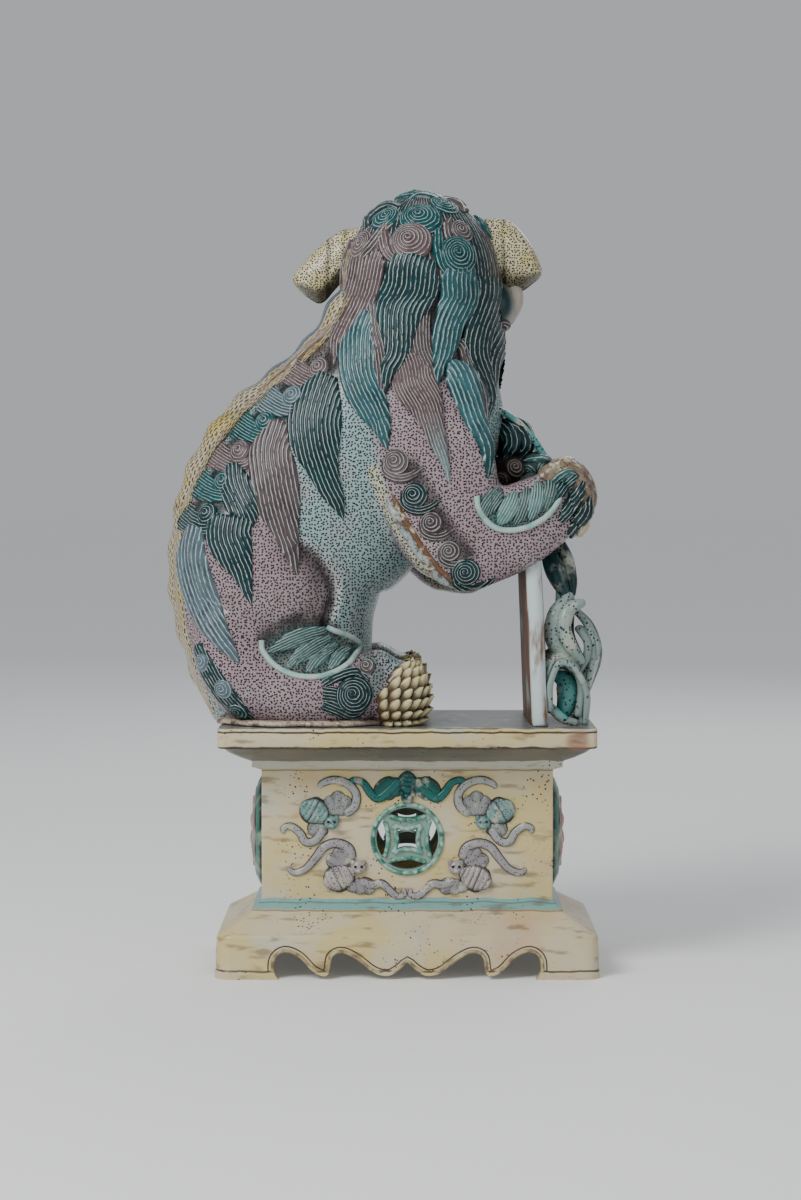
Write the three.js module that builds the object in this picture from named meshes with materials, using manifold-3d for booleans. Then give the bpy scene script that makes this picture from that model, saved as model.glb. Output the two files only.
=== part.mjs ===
// A seated guardian lion on an oblong plinth, in glazed biscuit porcelain. Millimetres, +Z up.
// Every place below is measured from the ground under the middle of the plinth. The lion sits towards -X,
// rests its forepaws on a ball at +X and turns its head to +Y, so that -Y is the side with the back of the
// head and the long mane.
import * as THREE from "three";
import { mergeVertices } from "three/addons/utils/BufferGeometryUtils.js";
import Module from "manifold-3d";

const wasm = await Module();
wasm.setup();

// Driving dimensions of the plinth.
const BASE_WIDTH = 224.4;
const BASE_DEPTH = 130;
const BASE_CORNER = 10;
const LIP_HEIGHT = 4;
const LIP_PROUD = 1.2;
const BAND_TOP = 25;
const SLOPE_TOP = 36;
const SLOPE_SETBACK = 21;
const FILLET_TOP = 43;
const WAIST_WIDTH = 171;
const WAIST_DEPTH = 77;
const WAIST_TOP = 119.5;
const NECKING_TOP = 125;
const NECKING_PROUD = 5.5;
const SLAB_BOTTOM = 134;
const SLAB_TOP = 145.7;
const SLAB_WIDTH = 219.6;
const SLAB_DEPTH = 128;
const SLAB_CHAMFER = 4.5;
const WALL = 7;
const COIN_Z = 78.5;
const COIN_RADIUS = 21.5;
const COIN_RING = 2.7;
const RELIEF = 2.2;
const MEDALLION_PROUD = 9;

// Driving dimensions of the lion.
const SEAT = SLAB_TOP + 0.3; // the glaze gap under the figure
const MIRROR = [-1, 1]; // near side, far side
const FACING = THREE.MathUtils.degToRad(-15); // the face's turn away from square to the body
const HEAD = new THREE.Vector3(9, 2, 408);
const BALL = { at: [79, 0, 275], radius: 27 };
const LOCK_THICK = 4.5;
const BURIED = 3; // how far a lock or curl goes into the body below it
const LUTING = 0.15; // edges shorter than this close up where two forms are joined
const SMOOTHING = 2.8; // slivers thinner than this close up in the finished figure

// Solids

function solid(geometry) {
  const bare = geometry.clone();
  bare.deleteAttribute("normal");
  bare.deleteAttribute("uv");
  const merged = mergeVertices(bare, 1e-4);
  const mesh = new wasm.Mesh({
    numProp: 3,
    vertProperties: new Float32Array(merged.attributes.position.array),
    triVerts: new Uint32Array(merged.index.array),
    tolerance: LUTING,
  });
  return new wasm.Manifold(mesh);
}

// A closed skin over rings of points, every ring with as many points as the first, capped at both ends.
function skin(rings) {
  const count = rings[0].length;
  const points = rings.flat();
  const faces = [];
  for (let i = 0; i + 1 < rings.length; i++) {
    for (let k = 0; k < count; k++) {
      const next = (k + 1) % count;
      const [a, b] = [i * count + k, i * count + next];
      const [c, d] = [a + count, b + count];
      faces.push([a, b, d], [a, d, c]);
    }
  }
  for (const [ring, order] of [[0, 1], [rings.length - 1, -1]]) {
    const middle = new THREE.Vector3();
    rings[ring].forEach((p) => middle.addScaledVector(p, 1 / count));
    const hub = points.push(middle) - 1;
    for (let k = 0; k < count; k++) {
      const edge = [ring * count + ((k + 1) % count), ring * count + k];
      faces.push(order > 0 ? [hub, ...edge] : [hub, edge[1], edge[0]]);
    }
  }
  let volume = 0;
  for (const [a, b, c] of faces) {
    volume += points[a].dot(new THREE.Vector3().crossVectors(points[b], points[c]));
  }
  const turned = volume < 0;
  const flat = faces.flatMap(([a, b, c]) => [a, turned ? c : b, turned ? b : c]);
  const geometry = new THREE.BufferGeometry().setFromPoints(points);
  geometry.setIndex(flat);
  return solid(geometry);
}

function joined(parts) {
  return parts.reduce((whole, part) => whole.add(part));
}

// The solid without the voids that are shut in where its parts meet.
function withoutVoids(whole) {
  return joined(whole.decompose().filter((shell) => shell.volume() > 0));
}

function egg(at, radii, sides = 9, turn = 0) {
  const geometry = new THREE.SphereGeometry(1, sides, Math.round(sides * 0.55));
  geometry.scale(...radii);
  geometry.rotateZ(turn);
  geometry.translate(...at);
  return solid(geometry);
}

// A rounded limb through stations [x, y, z, half height in the side view, half width across].
// A square above 1 flattens its sides.
function limb(stations, { sides = 8, steps = 1, square = 1, ends = true } = {}) {
  const path = new THREE.CatmullRomCurve3(stations.map((s) => new THREE.Vector3(...s.slice(0, 3))));
  const sizes = new THREE.CatmullRomCurve3(stations.map((s) => new THREE.Vector3(s[3], s[4], 0)));
  const spans = (stations.length - 1) * steps;
  const rings = [];
  const ring = (t, shrink, beyond) => {
    const along = path.getTangent(t);
    const across = new THREE.Vector3(0, 1, 0).addScaledVector(along, -along.y).normalize();
    const up = new THREE.Vector3().crossVectors(along, across);
    const size = sizes.getPoint(t);
    const middle = path.getPoint(t).addScaledVector(along, beyond * size.x);
    const points = [];
    for (let k = 0; k < sides; k++) {
      const angle = (k / sides) * Math.PI * 2;
      const [c, s] = [Math.cos(angle), Math.sin(angle)];
      const [h, w] = [c, s].map((v) => Math.sign(v) * Math.abs(v) ** (1 / square) * shrink);
      points.push(middle.clone().addScaledVector(up, h * size.x).addScaledVector(across, w * size.y));
    }
    rings.push(points);
  };
  if (ends) ring(0, 0.7, -0.6);
  for (let i = 0; i <= spans; i++) ring(i / spans, 1, 0);
  if (ends) ring(1, 0.7, 0.6);
  return skin(rings);
}

// A flat band through stations [x, y, z, turn of its width from the Y axis in degrees, width].
function band(stations, thick) {
  const path = new THREE.CatmullRomCurve3(stations.map((s) => new THREE.Vector3(...s.slice(0, 3))));
  const rings = [];
  const spans = Math.round((stations.length - 1) * 1.5);
  const twist = new THREE.CatmullRomCurve3(stations.map((s) => new THREE.Vector3(s[3], s[4], 0)));
  for (let i = 0; i <= spans; i++) {
    const t = i / spans;
    const along = path.getTangent(t);
    const across = new THREE.Vector3(0, 1, 0).addScaledVector(along, -along.y).normalize();
    const { x: turn, y: width } = twist.getPoint(t);
    across.applyAxisAngle(along, THREE.MathUtils.degToRad(turn));
    const out = new THREE.Vector3().crossVectors(along, across);
    const corner = (w, n) =>
      path.getPoint(t).addScaledVector(across, (w * width) / 2).addScaledVector(out, (n * thick) / 2);
    rings.push([corner(-1, -1), corner(1, -1), corner(1, 1), corner(-1, 1)]);
  }
  return skin(rings);
}

// The plinth

function oblong(halfX, halfY, z, corner) {
  const points = [];
  const turns = 2;
  for (const [sx, sy, from] of [[1, 1, 0], [-1, 1, 90], [-1, -1, 180], [1, -1, 270]]) {
    for (let k = 0; k <= turns; k++) {
      const angle = THREE.MathUtils.degToRad(from + (90 * k) / turns);
      const x = sx * (halfX - corner) + corner * Math.cos(angle);
      const y = sy * (halfY - corner) + corner * Math.sin(angle);
      points.push(new THREE.Vector3(x, y, z));
    }
  }
  return points;
}

// One half of the apron's lower edge, from the foot to the middle, as [distance from the middle, height].
const APRON = [
  [74, 0], [77, 4], [76.5, 12], [71, 16], [63, 13], [55, 5], [48, 2.2], [45, 5], [43.5, 13],
  [38, 15.5], [30, 12], [20, 4.5], [11.5, 2.4], [5, 5.5], [0, 10],
];

function apronCut(scale, depth, every = 1) {
  const half = APRON.filter((_, i) => i % every === 0).map(([d, z]) => [d * scale, z]);
  const other = half.slice(0, -1).reverse().map(([d, z]) => [-d, z]);
  const edge = [...half, ...other];
  const shape = new THREE.Shape([
    ...edge.map(([x, z]) => new THREE.Vector2(x, z)),
    new THREE.Vector2(edge.at(-1)[0], -5),
    new THREE.Vector2(edge[0][0], -5),
  ]);
  const geometry = new THREE.ExtrudeGeometry(shape, { depth, bevelEnabled: false });
  geometry.rotateX(Math.PI / 2);
  geometry.translate(0, depth / 2, 0);
  return geometry;
}

// The five openings of the pierced coin: four lenses and the square with hollow sides.
function coinHoles(depth) {
  const lens = { outer: 18.2, inner: 12.6, half: THREE.MathUtils.degToRad(38) };
  const square = { corner: 7.2, side: 5 };
  const holes = [];
  for (let quarter = 0; quarter < 4; quarter++) {
    const start = lens.outer * Math.cos(lens.half);
    const wide = lens.outer * Math.sin(lens.half);
    const shape = new THREE.Shape();
    shape.moveTo(-wide, start);
    shape.quadraticCurveTo(0, 2 * lens.inner - start - 0.8, wide, start);
    shape.absarc(0, 0, lens.outer, Math.PI / 2 - lens.half, Math.PI / 2 + lens.half);
    holes.push({ shape, turn: (quarter * Math.PI) / 2 });
  }
  const middle = new THREE.Shape();
  const pull = 2 * square.side - square.corner;
  middle.moveTo(square.corner, square.corner);
  for (const [x, y] of [[-1, 1], [-1, -1], [1, -1], [1, 1]]) {
    const [cx, cy] = x === y ? [x * pull, 0] : [0, y * pull];
    middle.quadraticCurveTo(cx, cy, x * square.corner, y * square.corner);
  }
  holes.push({ shape: middle, turn: 0 });
  return holes.map(({ shape, turn }) => {
    const geometry = new THREE.ExtrudeGeometry(shape, { depth, bevelEnabled: false, curveSegments: 3 });
    geometry.rotateZ(turn);
    return solid(standing(geometry, depth / 2));
  });
}

// Turns a flat extrusion upright, its face to -Y, and lifts it to the coin's height.
function standing(geometry, y) {
  geometry.rotateX(Math.PI / 2);
  geometry.translate(0, y, COIN_Z);
  return geometry;
}

function coinRing(side) {
  const shape = new THREE.Shape();
  shape.absarc(0, 0, COIN_RADIUS, 0, Math.PI * 2);
  shape.holes.push(new THREE.Path().absarc(0, 0, COIN_RADIUS - COIN_RING, 0, Math.PI * 2, true));
  const depth = RELIEF + 1;
  const geometry = new THREE.ExtrudeGeometry(shape, { depth, bevelEnabled: false, curveSegments: 7 });
  const y = side < 0 ? -WAIST_DEPTH / 2 + 1 : WAIST_DEPTH / 2 + RELIEF;
  return solid(standing(geometry, y));
}

// The bats as ridges of [x, z, half width] on the waist's face: a ribbed body with its head, and two
// wings with curled tips. The upper and lower ones stand in pairs beside the coin.
const BATS = {
  top: {
    body: [[0, 117, 3], [0, 112, 6.5], [0, 105, 5], [0, 100, 3]],
    wings: [
      [[4, 114, 4], [12, 103, 5.5], [18, 102.5, 4], [22, 108, 3], [26, 112.5, 2.2], [31, 111, 1.6]],
      [[-4, 114, 4], [-12, 103, 5.5], [-18, 102.5, 4], [-22, 108, 3], [-26, 112.5, 2.2], [-31, 111, 1.6]],
    ],
  },
  upper: {
    body: [[-63, 97, 4], [-58, 95, 7.5], [-50, 89, 6], [-41, 86, 4]],
    wings: [
      [[-47, 98, 4], [-37, 98, 5], [-31, 102, 4], [-34, 110, 3], [-42, 112.5, 2.4], [-52, 108.5, 1.8]],
      [[-53, 83, 4], [-55, 77, 4], [-60, 77.5, 3.5], [-64, 84, 2.4], [-69, 86.5, 2.2], [-73, 83, 1.8]],
    ],
  },
  lower: {
    body: [[-48, 52, 4], [-43, 55, 7.5], [-35, 60, 6], [-27, 63, 4]],
    wings: [
      [[-43, 63, 4], [-36, 72, 5], [-42, 76, 4.5], [-51, 71, 3.6], [-58, 61, 2.6], [-70, 61, 1.8]],
      [[-36, 49, 4], [-27, 46, 4], [-21, 48, 4], [-15.5, 52, 3], [-10.5, 49, 2.2], [-4, 45.5, 1.6]],
    ],
  },
};

function bat({ body: trunk, wings }, side, flip) {
  const turned = (stations) => stations.map(([x, z, half]) => [x * flip, z, half]);
  const parts = wings.map((wing) => lowRelief(turned(wing), RELIEF, 3));
  parts.push(lowRelief(turned(trunk), RELIEF * 1.6, 4));
  const whole = joined(parts).translate([0, -WAIST_DEPTH / 2, 0]);
  return side < 0 ? whole : whole.mirror([0, 1, 0]);
}

// A ridge through [x, z, half width], proud of the plane y = 0 towards -Y, with a sharp or a flat top.
function lowRelief(stations, proud, corners) {
  const path = new THREE.CatmullRomCurve3(stations.map(([a, b]) => new THREE.Vector3(a, 0, b)));
  const crown = corners === 3 ? [0] : [-0.5, 0.5];
  const rings = stations.map(([x, z, half], i) => {
    const along = path.getTangent(i / (stations.length - 1));
    const across = new THREE.Vector3(-along.z, 0, along.x).setLength(half);
    const at = (w, y) => new THREE.Vector3(x, y, z).addScaledVector(across, w);
    return [at(-1, 1), ...crown.map((w) => at(w, -proud)), at(1, 1)];
  });
  return skin(rings);
}

function plinth() {
  const half = { base: [BASE_WIDTH / 2, BASE_DEPTH / 2], slab: [SLAB_WIDTH / 2, SLAB_DEPTH / 2] };
  const waist = [WAIST_WIDTH / 2, WAIST_DEPTH / 2];
  const grow = ([x, y], by) => [x + by, y + by];
  const outline = [
    [...half.base, 0, BASE_CORNER],
    [...half.base, LIP_HEIGHT, BASE_CORNER],
    [...grow(half.base, -LIP_PROUD), LIP_HEIGHT + 1, BASE_CORNER - LIP_PROUD],
    [...grow(half.base, -LIP_PROUD), BAND_TOP, BASE_CORNER - LIP_PROUD],
    [...grow(half.base, -SLOPE_SETBACK), SLOPE_TOP, 3],
    [...grow(half.base, -SLOPE_SETBACK), SLOPE_TOP + 2, 3],
    [...grow(waist, 0.5), FILLET_TOP, 1],
    [...waist, FILLET_TOP + 0.5, 1],
    [...waist, WAIST_TOP, 1],
    [...grow(waist, NECKING_PROUD), WAIST_TOP + 2, 1.5],
    [...grow(waist, NECKING_PROUD), NECKING_TOP, 1.5],
    [...grow(half.slab, -3), SLAB_BOTTOM - 0.5, SLAB_CHAMFER],
    [...half.slab, SLAB_BOTTOM, SLAB_CHAMFER],
    [...half.slab, SLAB_TOP, SLAB_CHAMFER],
  ];
  const hollow = [
    [...grow(half.base, -WALL), -5, BASE_CORNER - 4],
    [...grow(half.base, -WALL), BAND_TOP - 3, BASE_CORNER - 4],
    [...grow(waist, -WALL), SLOPE_TOP + 3, 2],
    [...grow(waist, -WALL), SLAB_TOP - WALL - 3, 2],
  ];
  const ring = ([x, y, z, corner]) => oblong(x, y, z, corner);
  let box = skin(outline.map(ring)).subtract(skin(hollow.map(ring)));
  box = box.subtract(solid(apronCut(1, BASE_DEPTH + 20)));
  const across = apronCut(BASE_DEPTH / BASE_WIDTH, BASE_WIDTH + 20, 2);
  box = box.subtract(solid(across.rotateZ(Math.PI / 2)));
  coinHoles(WAIST_DEPTH + 20).forEach((hole) => (box = box.subtract(hole)));
  const proud = [bat(BATS.top, -1, 1), bat(BATS.upper, -1, 1), bat(BATS.upper, -1, -1)];
  for (const side of MIRROR) {
    proud.push(coinRing(side));
    proud.push(bat(BATS.lower, side, 1), bat(BATS.lower, side, -1));
    proud.push(egg([(side * WAIST_WIDTH) / 2, 0, COIN_Z], [MEDALLION_PROUD, 27, 34], 10));
  }
  return joined([box, ...proud]);
}

// The lion's body

const TORSO = [
  [-66, 0, 146, 46, 46], [-74, 0, 180, 54, 50], [-78, 0, 215, 60, 53], [-72, 0, 252, 66, 54],
  [-44, 0, 288, 70, 52], [-16, 0, 325, 62, 50], [4, 0, 360, 53, 48], [10, 0, 392, 44, 44],
];
const THIGH = [[-98, -30, 262, 32, 22], [-88, -34, 240, 35, 25], [-76, -36, 224, 33, 25]];
const SHANK = [
  [-106, -32, 205, 20, 22], [-98, -36, 178, 24, 24], [-70, -38, 165, 22, 23], [-32, -38, 166, 22, 22],
];
// The near foreleg and the far one, whose elbow hangs a little lower.
const FORELEGS = [
  {
    upper: [[10, -36, 336, 34, 16], [15, -40, 300, 36, 18], [24, -42, 264, 33, 18], [36, -43, 247, 26, 16]],
    fore: [[38, -43, 250, 25, 16], [62, -42, 261, 25, 16], [84, -38, 273, 21, 17]],
  },
  {
    upper: [[8, 36, 336, 34, 16], [11, 40, 300, 36, 18], [19, 42, 262, 34, 18], [28, 43, 243, 27, 16]],
    fore: [[30, 43, 244, 27, 16], [58, 42, 257, 25, 16], [84, 38, 272, 21, 17]],
  },
];
const FORE_PAW = { at: [89, -32, 279], radii: [21, 20, 22] };
const HIND_PAW = { at: [-6, -38, 164], radii: [20, 22, 26] };
const EAR_NEAR = [
  [-28, 6, 424, 14, 6], [-42, 8, 419, 19, 6], [-51, 10, 415, 18, 5], [-60, 12, 412, 12, 4],
  [-67, 13, 410, 4, 2],
];
const EAR_FAR = [
  [42, 6, 430, 15, 7], [52, 4, 426, 19, 7], [61, 4, 421, 20, 6], [70, 6, 419, 15, 5],
  [78, 8, 412, 5, 3],
];

const mirrored = (stations, side) => stations.map(([x, y, ...rest]) => [x, -side * y, ...rest]);

// Points in the head's own frame: across to the lion's left, forward out of the face, up.
function inHead(across, forward, up) {
  const point = new THREE.Vector3(across, forward, up);
  return point.applyAxisAngle(new THREE.Vector3(0, 0, 1), FACING).add(HEAD);
}

function headLump([across, forward, up, ...radii], sides = 10) {
  return egg(inHead(across, forward, up).toArray(), radii, sides, FACING);
}

// The face's forms as [across, forward, up, three radii]; those off the middle are made on both sides.
const FACE = [
  [0, 34, -8, 30, 26, 24],
  [0, 56, -2, 15, 12, 12],
  [0, 44, 16, 12, 14, 12],
  [0, 40, -36, 20, 18, 8],
];
const FACE_PAIRS = [
  [20, 40, 18, 12, 10, 10],
  [22, 38, 31, 15, 9, 6],
  [9, 62, -5, 7, 6, 6],
  [19, 52, -13, 12, 10, 8],
  [46, 20, -18, 14, 18, 20],
];

function body() {
  const parts = [limb(TORSO, { sides: 12 }), egg([20, 0, 325], [38, 42, 50])];
  parts.push(headLump([0, 0, 1.5, 46, 50, 53.5], 12));
  for (const side of MIRROR) {
    parts.push(limb(mirrored(THIGH, side)));
    parts.push(limb(mirrored(SHANK, side)));
    for (const { at: [x, y, z], radii } of [FORE_PAW, HIND_PAW]) {
      parts.push(egg([x, -side * y, z], radii));
    }
    FACE_PAIRS.forEach(([across, ...rest]) => parts.push(headLump([side * across, ...rest], 6)));
  }
  for (const { upper, fore } of FORELEGS) {
    parts.push(limb(upper, { square: 1.4 }), limb(fore, { square: 1.4 }));
  }
  FACE.forEach((lump) => parts.push(headLump(lump, 8)));
  parts.push(egg(BALL.at, [BALL.radius, BALL.radius, BALL.radius], 10));
  return joined(parts);
}

// What lies on the body's surface

// Where a line from outside meets the body, with the slope of the surface there.
function surfaceOf(whole) {
  const { vertProperties, triVerts } = whole.getMesh();
  const geometry = new THREE.BufferGeometry();
  geometry.setAttribute("position", new THREE.BufferAttribute(vertProperties, 3));
  geometry.setIndex(new THREE.BufferAttribute(triVerts, 1));
  const mesh = new THREE.Mesh(geometry, new THREE.MeshBasicMaterial({ side: THREE.DoubleSide }));
  const caster = new THREE.Raycaster();
  const meet = (from, towards) => {
    caster.set(from, towards);
    return caster.intersectObject(mesh)[0]?.point ?? null;
  };
  const reach = 300;
  const seen = (x, z, side) => meet(new THREE.Vector3(x, side * reach, z), new THREE.Vector3(0, -side, 0));
  const slope = (x, z, side, step = 5) => {
    const [e, w] = [seen(x + step, z, side), seen(x - step, z, side)];
    const [n, s] = [seen(x, z + step, side), seen(x, z - step, side)];
    if (!e || !w || !n || !s) return new THREE.Vector3(0, side, 0);
    const normal = new THREE.Vector3().crossVectors(e.sub(w), n.sub(s)).normalize();
    return normal.y * side < 0 ? normal.negate() : normal;
  };
  return { meet, seen, slope };
}

// A lock of hair through [x, z, width] in the side view, lying on the surface and ending in a point.
function lock(stations, side, surface, thick = LOCK_THICK) {
  const last = stations.length - 1;
  const path = new THREE.CatmullRomCurve3(stations.map(([x, z]) => new THREE.Vector3(x, 0, z)));
  const spans = last;
  const sizes = new THREE.CatmullRomCurve3(stations.map(([, , w]) => new THREE.Vector3(w, 0, 0)));
  const rings = [];
  let depth = null;
  for (let i = 0; i <= spans; i++) {
    const t = i / spans;
    const middle = path.getPoint(t);
    const along = path.getTangent(t);
    const across = new THREE.Vector3(-along.z, 0, along.x);
    const half = Math.max(sizes.getPoint(t).x / 2, 0.8);
    const found = surface.seen(middle.x, middle.z, side);
    if (found) depth = found.y;
    const lie = (w, lift) => {
      for (let reach = w; ; reach *= 0.8) {
        const point = middle.clone().addScaledVector(across, reach * half);
        const hit = surface.seen(point.x, point.z, side);
        if (hit || Math.abs(reach) < 0.15) {
          point.y = (hit && Math.abs(hit.y - depth) < 18 ? hit.y : depth) + side * lift;
          return point;
        }
      }
    };
    const high = thick * Math.min(1, half / 5);
    rings.push([lie(-1, -BURIED), lie(-0.6, high), lie(0.6, high), lie(1, -BURIED)]);
  }
  return skin(rings);
}

// A curl: a low dome of hair wound in a spiral, on the surface at a point with a given slope.
function curl(at, normal, radius, height, hand, sides) {
  const across = new THREE.Vector3(0, 0, 1).cross(normal);
  if (across.lengthSq() < 0.01) across.set(1, 0, 0);
  across.normalize();
  const up = new THREE.Vector3().crossVectors(normal, across);
  const ring = (share, lift, wound) => {
    const points = [];
    for (let k = 0; k < sides; k++) {
      const angle = (k / sides) * Math.PI * 2;
      const fall = wound * (hand > 0 ? k / sides : 1 - k / sides);
      points.push(
        at.clone()
          .addScaledVector(across, radius * share * Math.cos(angle))
          .addScaledVector(up, radius * share * Math.sin(angle))
          .addScaledVector(normal, lift - fall),
      );
    }
    return points;
  };
  return skin([ring(1, -BURIED, 0), ring(0.95, height * 0.5, 0), ring(0.45, height, height * 0.5)]);
}

const NEAR_TRESSES = [
  [[-20, 417, 22], [-25, 394, 34], [-34, 374, 22], [-40, 352, 8]],
  [[-19, 379, 18], [-28, 362, 26], [-27, 344, 26], [-19, 327, 20], [-11, 305, 4]],
  [[4, 412, 26], [-2, 386, 26], [-5, 368, 15], [-12, 340, 3]],
  [[8, 374, 14], [4, 347, 28], [14, 325, 18], [21, 307, 9], [23, 290, 3]],
  [[29, 407, 22], [23, 386, 18], [18, 365, 9], [17, 346, 3]],
  [[42, 385, 14], [39, 368, 20], [31, 350, 22], [36, 330, 18], [43, 311, 12], [46, 293, 3]],
  [[49, 404, 14], [54, 384, 12], [53, 364, 12], [51, 334, 4]],
];
const FLANK_LOCKS = [
  [[-56, 335, 24], [-53, 314, 30], [-48, 297, 22], [-42, 283, 13], [-36, 265, 3]],
  [[-81, 312, 18], [-75, 297, 27], [-73, 278, 27], [-68, 261, 18], [-65, 243, 7], [-64, 234, 3]],
  [[-97, 296, 11], [-93, 283, 10], [-87, 268, 3]],
  [[-101, 268, 22], [-105, 254, 24], [-98, 241, 19], [-92, 230, 11], [-90, 216, 3]],
  [[-121, 259, 12], [-123, 240, 14], [-118, 219, 16], [-110, 202, 14], [-103, 192, 8], [-97, 184, 3]],
];
const BEARD = [
  [[-24, 372, 16], [-28, 350, 20], [-22, 330, 3]],
  [[2, 366, 16], [0, 344, 22], [6, 318, 3]],
  [[30, 366, 16], [32, 344, 22], [28, 320, 3]],
  [[50, 372, 14], [54, 350, 18], [50, 330, 3]],
];
// Curls as [x, z, radius] in the side view.
const BACK_CURLS = [
  [-53, 352, 9], [-66, 338, 8], [-83, 323, 8], [-97, 305.5, 8], [-107, 289, 7.5], [-117, 269, 7],
];
const RUMP_CURLS = [[-119, 184, 5.5], [-108, 168, 5.5], [-99, 154.5, 6]];
const ARM_CURLS = [[-6, 298.5, 7.5], [4, 280.5, 7.5], [13.5, 264.5, 6.5], [24.5, 246.5, 6], [34, 236, 8]];
const FOOT_CURLS = [[-30.5, 164.5, 11], [-22.5, 186, 5.5]];
// Curls of the head's cap as [across, forward, up, radius] of where they sit, from the head's middle.
const CAP_CURLS = [
  [9, -38, 35, 12.5], [5.5, -46, 19, 12], [31, -36, 11, 11.5], [31, -28, 26, 7.5], [-27, -35, 18, 9],
  [-14, -33, 34, 9], [-5, -5, 51, 11], [18.5, -19, 43, 9], [8, 16, 50, 9], [-14, 18, 46, 9],
  [36, 8, 32, 9], [-40, 6, 30, 9],
];

const SPINE = [
  [-31, 414], [-46, 393], [-57, 375], [-76, 357], [-99.5, 339], [-117, 319.5], [-128.5, 300],
  [-136, 280], [-140, 258],
  [-142, 235], [-139.5, 212], [-134, 190], [-126, 168], [-113, 150],
];

// The ridge of the spine: a lumpy strap down the middle of the back, lower and narrower at its ends.
function spine() {
  const lumps = 12;
  const path = new THREE.CatmullRomCurve3(SPINE.map(([x, z]) => new THREE.Vector3(x, 0, z)));
  const rings = [];
  const spans = lumps * 2;
  for (let i = 0; i <= spans; i++) {
    const t = i / spans;
    const middle = path.getPoint(t);
    const along = path.getTangent(t);
    const out = new THREE.Vector3(along.z, 0, -along.x);
    if (out.x > 0) out.negate();
    const swell = 1.6 * Math.cos(t * lumps * Math.PI * 2);
    const at = (y, lift) => middle.clone().addScaledVector(out, lift).add(new THREE.Vector3(0, y, 0));
    rings.push([at(-12, -9), at(-7, 2 + swell), at(7, 2 + swell), at(12, -9)]);
  }
  return skin(rings);
}

// The strut under the forepaws leans back a little towards the lion, and the ribbons fall beside it.
const STRUT = [[77.5, 2, 140, 0, 112], [77, 2, 150, 0, 112], [75, 2, 200, 0, 108], [72.5, 2, 256, 0, 94]];
const STRUT_THICK = 9.5;
const RIBBON_THICK = 3.4;
const RIBBONS = [
  [[42, 2, 334, 0, 30], [58, 0, 328.5, 0, 32], [72, 0, 316.5, 0, 30], [84, 0, 299, 0, 26]],
  [
    [86, -14, 258, 40, 16], [92, -22, 236, 60, 18], [93, -28, 216, 80, 20], [90, -32, 198, 100, 20],
    [98, -34, 184, 60, 18], [104, -30, 172, 30, 16],
  ],
  [
    [98, -20, 214, 0, 16], [108, -24, 202, 10, 18], [111, -26, 186, 20, 18], [107, -24, 168, 10, 18],
    [100, -20, 150, 0, 20],
  ],
  [
    [79, -40, 156, 20, 24], [78, -44, 172, 30, 24], [86, -46, 186, 20, 24], [97, -44, 182, 10, 22],
    [104, -38, 166, 0, 22], [104, -32, 148, 0, 24],
  ],
  [
    [88, 14, 256, 0, 20], [98, 20, 226, 10, 22], [94, 26, 196, -10, 22], [104, 26, 170, 0, 22],
    [102, 24, 147, 0, 22],
  ],
  [[80, 34, 147, 10, 20], [84, 38, 168, 0, 20], [98, 40, 172, 0, 20], [106, 40, 148, 0, 20]],
];

// The bow tied under the chin is a lump of folds between the chest, the ball and the ribbon over them.
const BOW = [
  { at: [62, -4, 312], radii: [9, 17, 12] },
  { at: [62, -4, 294], radii: [9, 17, 9] },
  { at: [77, -5, 296], radii: [9, 17, 6] },
];

function lion() {
  const bare = body();
  const surface = surfaceOf(bare);
  const parts = [bare, spine(), band(STRUT, STRUT_THICK)];
  RIBBONS.forEach((ribbon) => parts.push(band(ribbon, RIBBON_THICK)));
  BOW.forEach(({ at, radii }) => parts.push(egg(at, radii, 7)));
  parts.push(limb(EAR_NEAR, { sides: 6 }), limb(EAR_FAR, { sides: 6 }));
  NEAR_TRESSES.forEach((tress) => parts.push(lock(tress, -1, surface)));
  BEARD.forEach((tress) => parts.push(lock(tress, 1, surface)));
  const place = ([x, z, radius], side) => {
    const at = surface.seen(x, z, side);
    if (at) parts.push(curl(at, surface.slope(x, z, side), radius, radius * 0.5, side, side < 0 ? 8 : 6));
  };
  for (const side of MIRROR) {
    FLANK_LOCKS.forEach((tress) => parts.push(lock(tress, side, surface, 3.4)));
    const curls = [...BACK_CURLS, ...RUMP_CURLS, ...ARM_CURLS, ...FOOT_CURLS];
    // The far side is plainer, with every other curl left out below the shoulder.
    const shown = side < 0 ? curls : curls.filter((_, i) => i < BACK_CURLS.length || i % 2 === 0);
    shown.forEach((spot) => place(spot, side));
  }
  for (const [across, forward, up, radius] of CAP_CURLS) {
    const outside = inHead(across * 3, forward * 3, up * 3);
    const inward = HEAD.clone().sub(outside).normalize();
    const at = surface.meet(outside, inward);
    if (at) parts.push(curl(at, inward.negate(), radius, radius * 0.45, Math.sign(across) || 1, 8));
  }
  const ground = new THREE.BoxGeometry(400, 400, 100);
  ground.translate(0, 0, SEAT - 50);
  return withoutVoids(joined(parts).subtract(solid(ground)).setTolerance(SMOOTHING));
}

// Assembly

function piece(name, whole, { color, roughness, metalness }) {
  const { vertProperties, triVerts } = whole.getMesh();
  const geometry = new THREE.BufferGeometry();
  geometry.setAttribute("position", new THREE.BufferAttribute(new Float32Array(vertProperties), 3));
  geometry.setIndex(new THREE.BufferAttribute(new Uint32Array(triVerts), 1));
  const mesh = new THREE.Mesh(geometry, new THREE.MeshStandardMaterial({ color, roughness, metalness }));
  mesh.name = name;
  return mesh;
}

const figure = new THREE.Group();
figure.add(piece("plinth", plinth(), { color: 0xd2c39c, roughness: 0.25, metalness: 0 }));
figure.add(piece("lion_figure", lion(), { color: 0x8f8d92, roughness: 0.25, metalness: 0 }));

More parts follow.
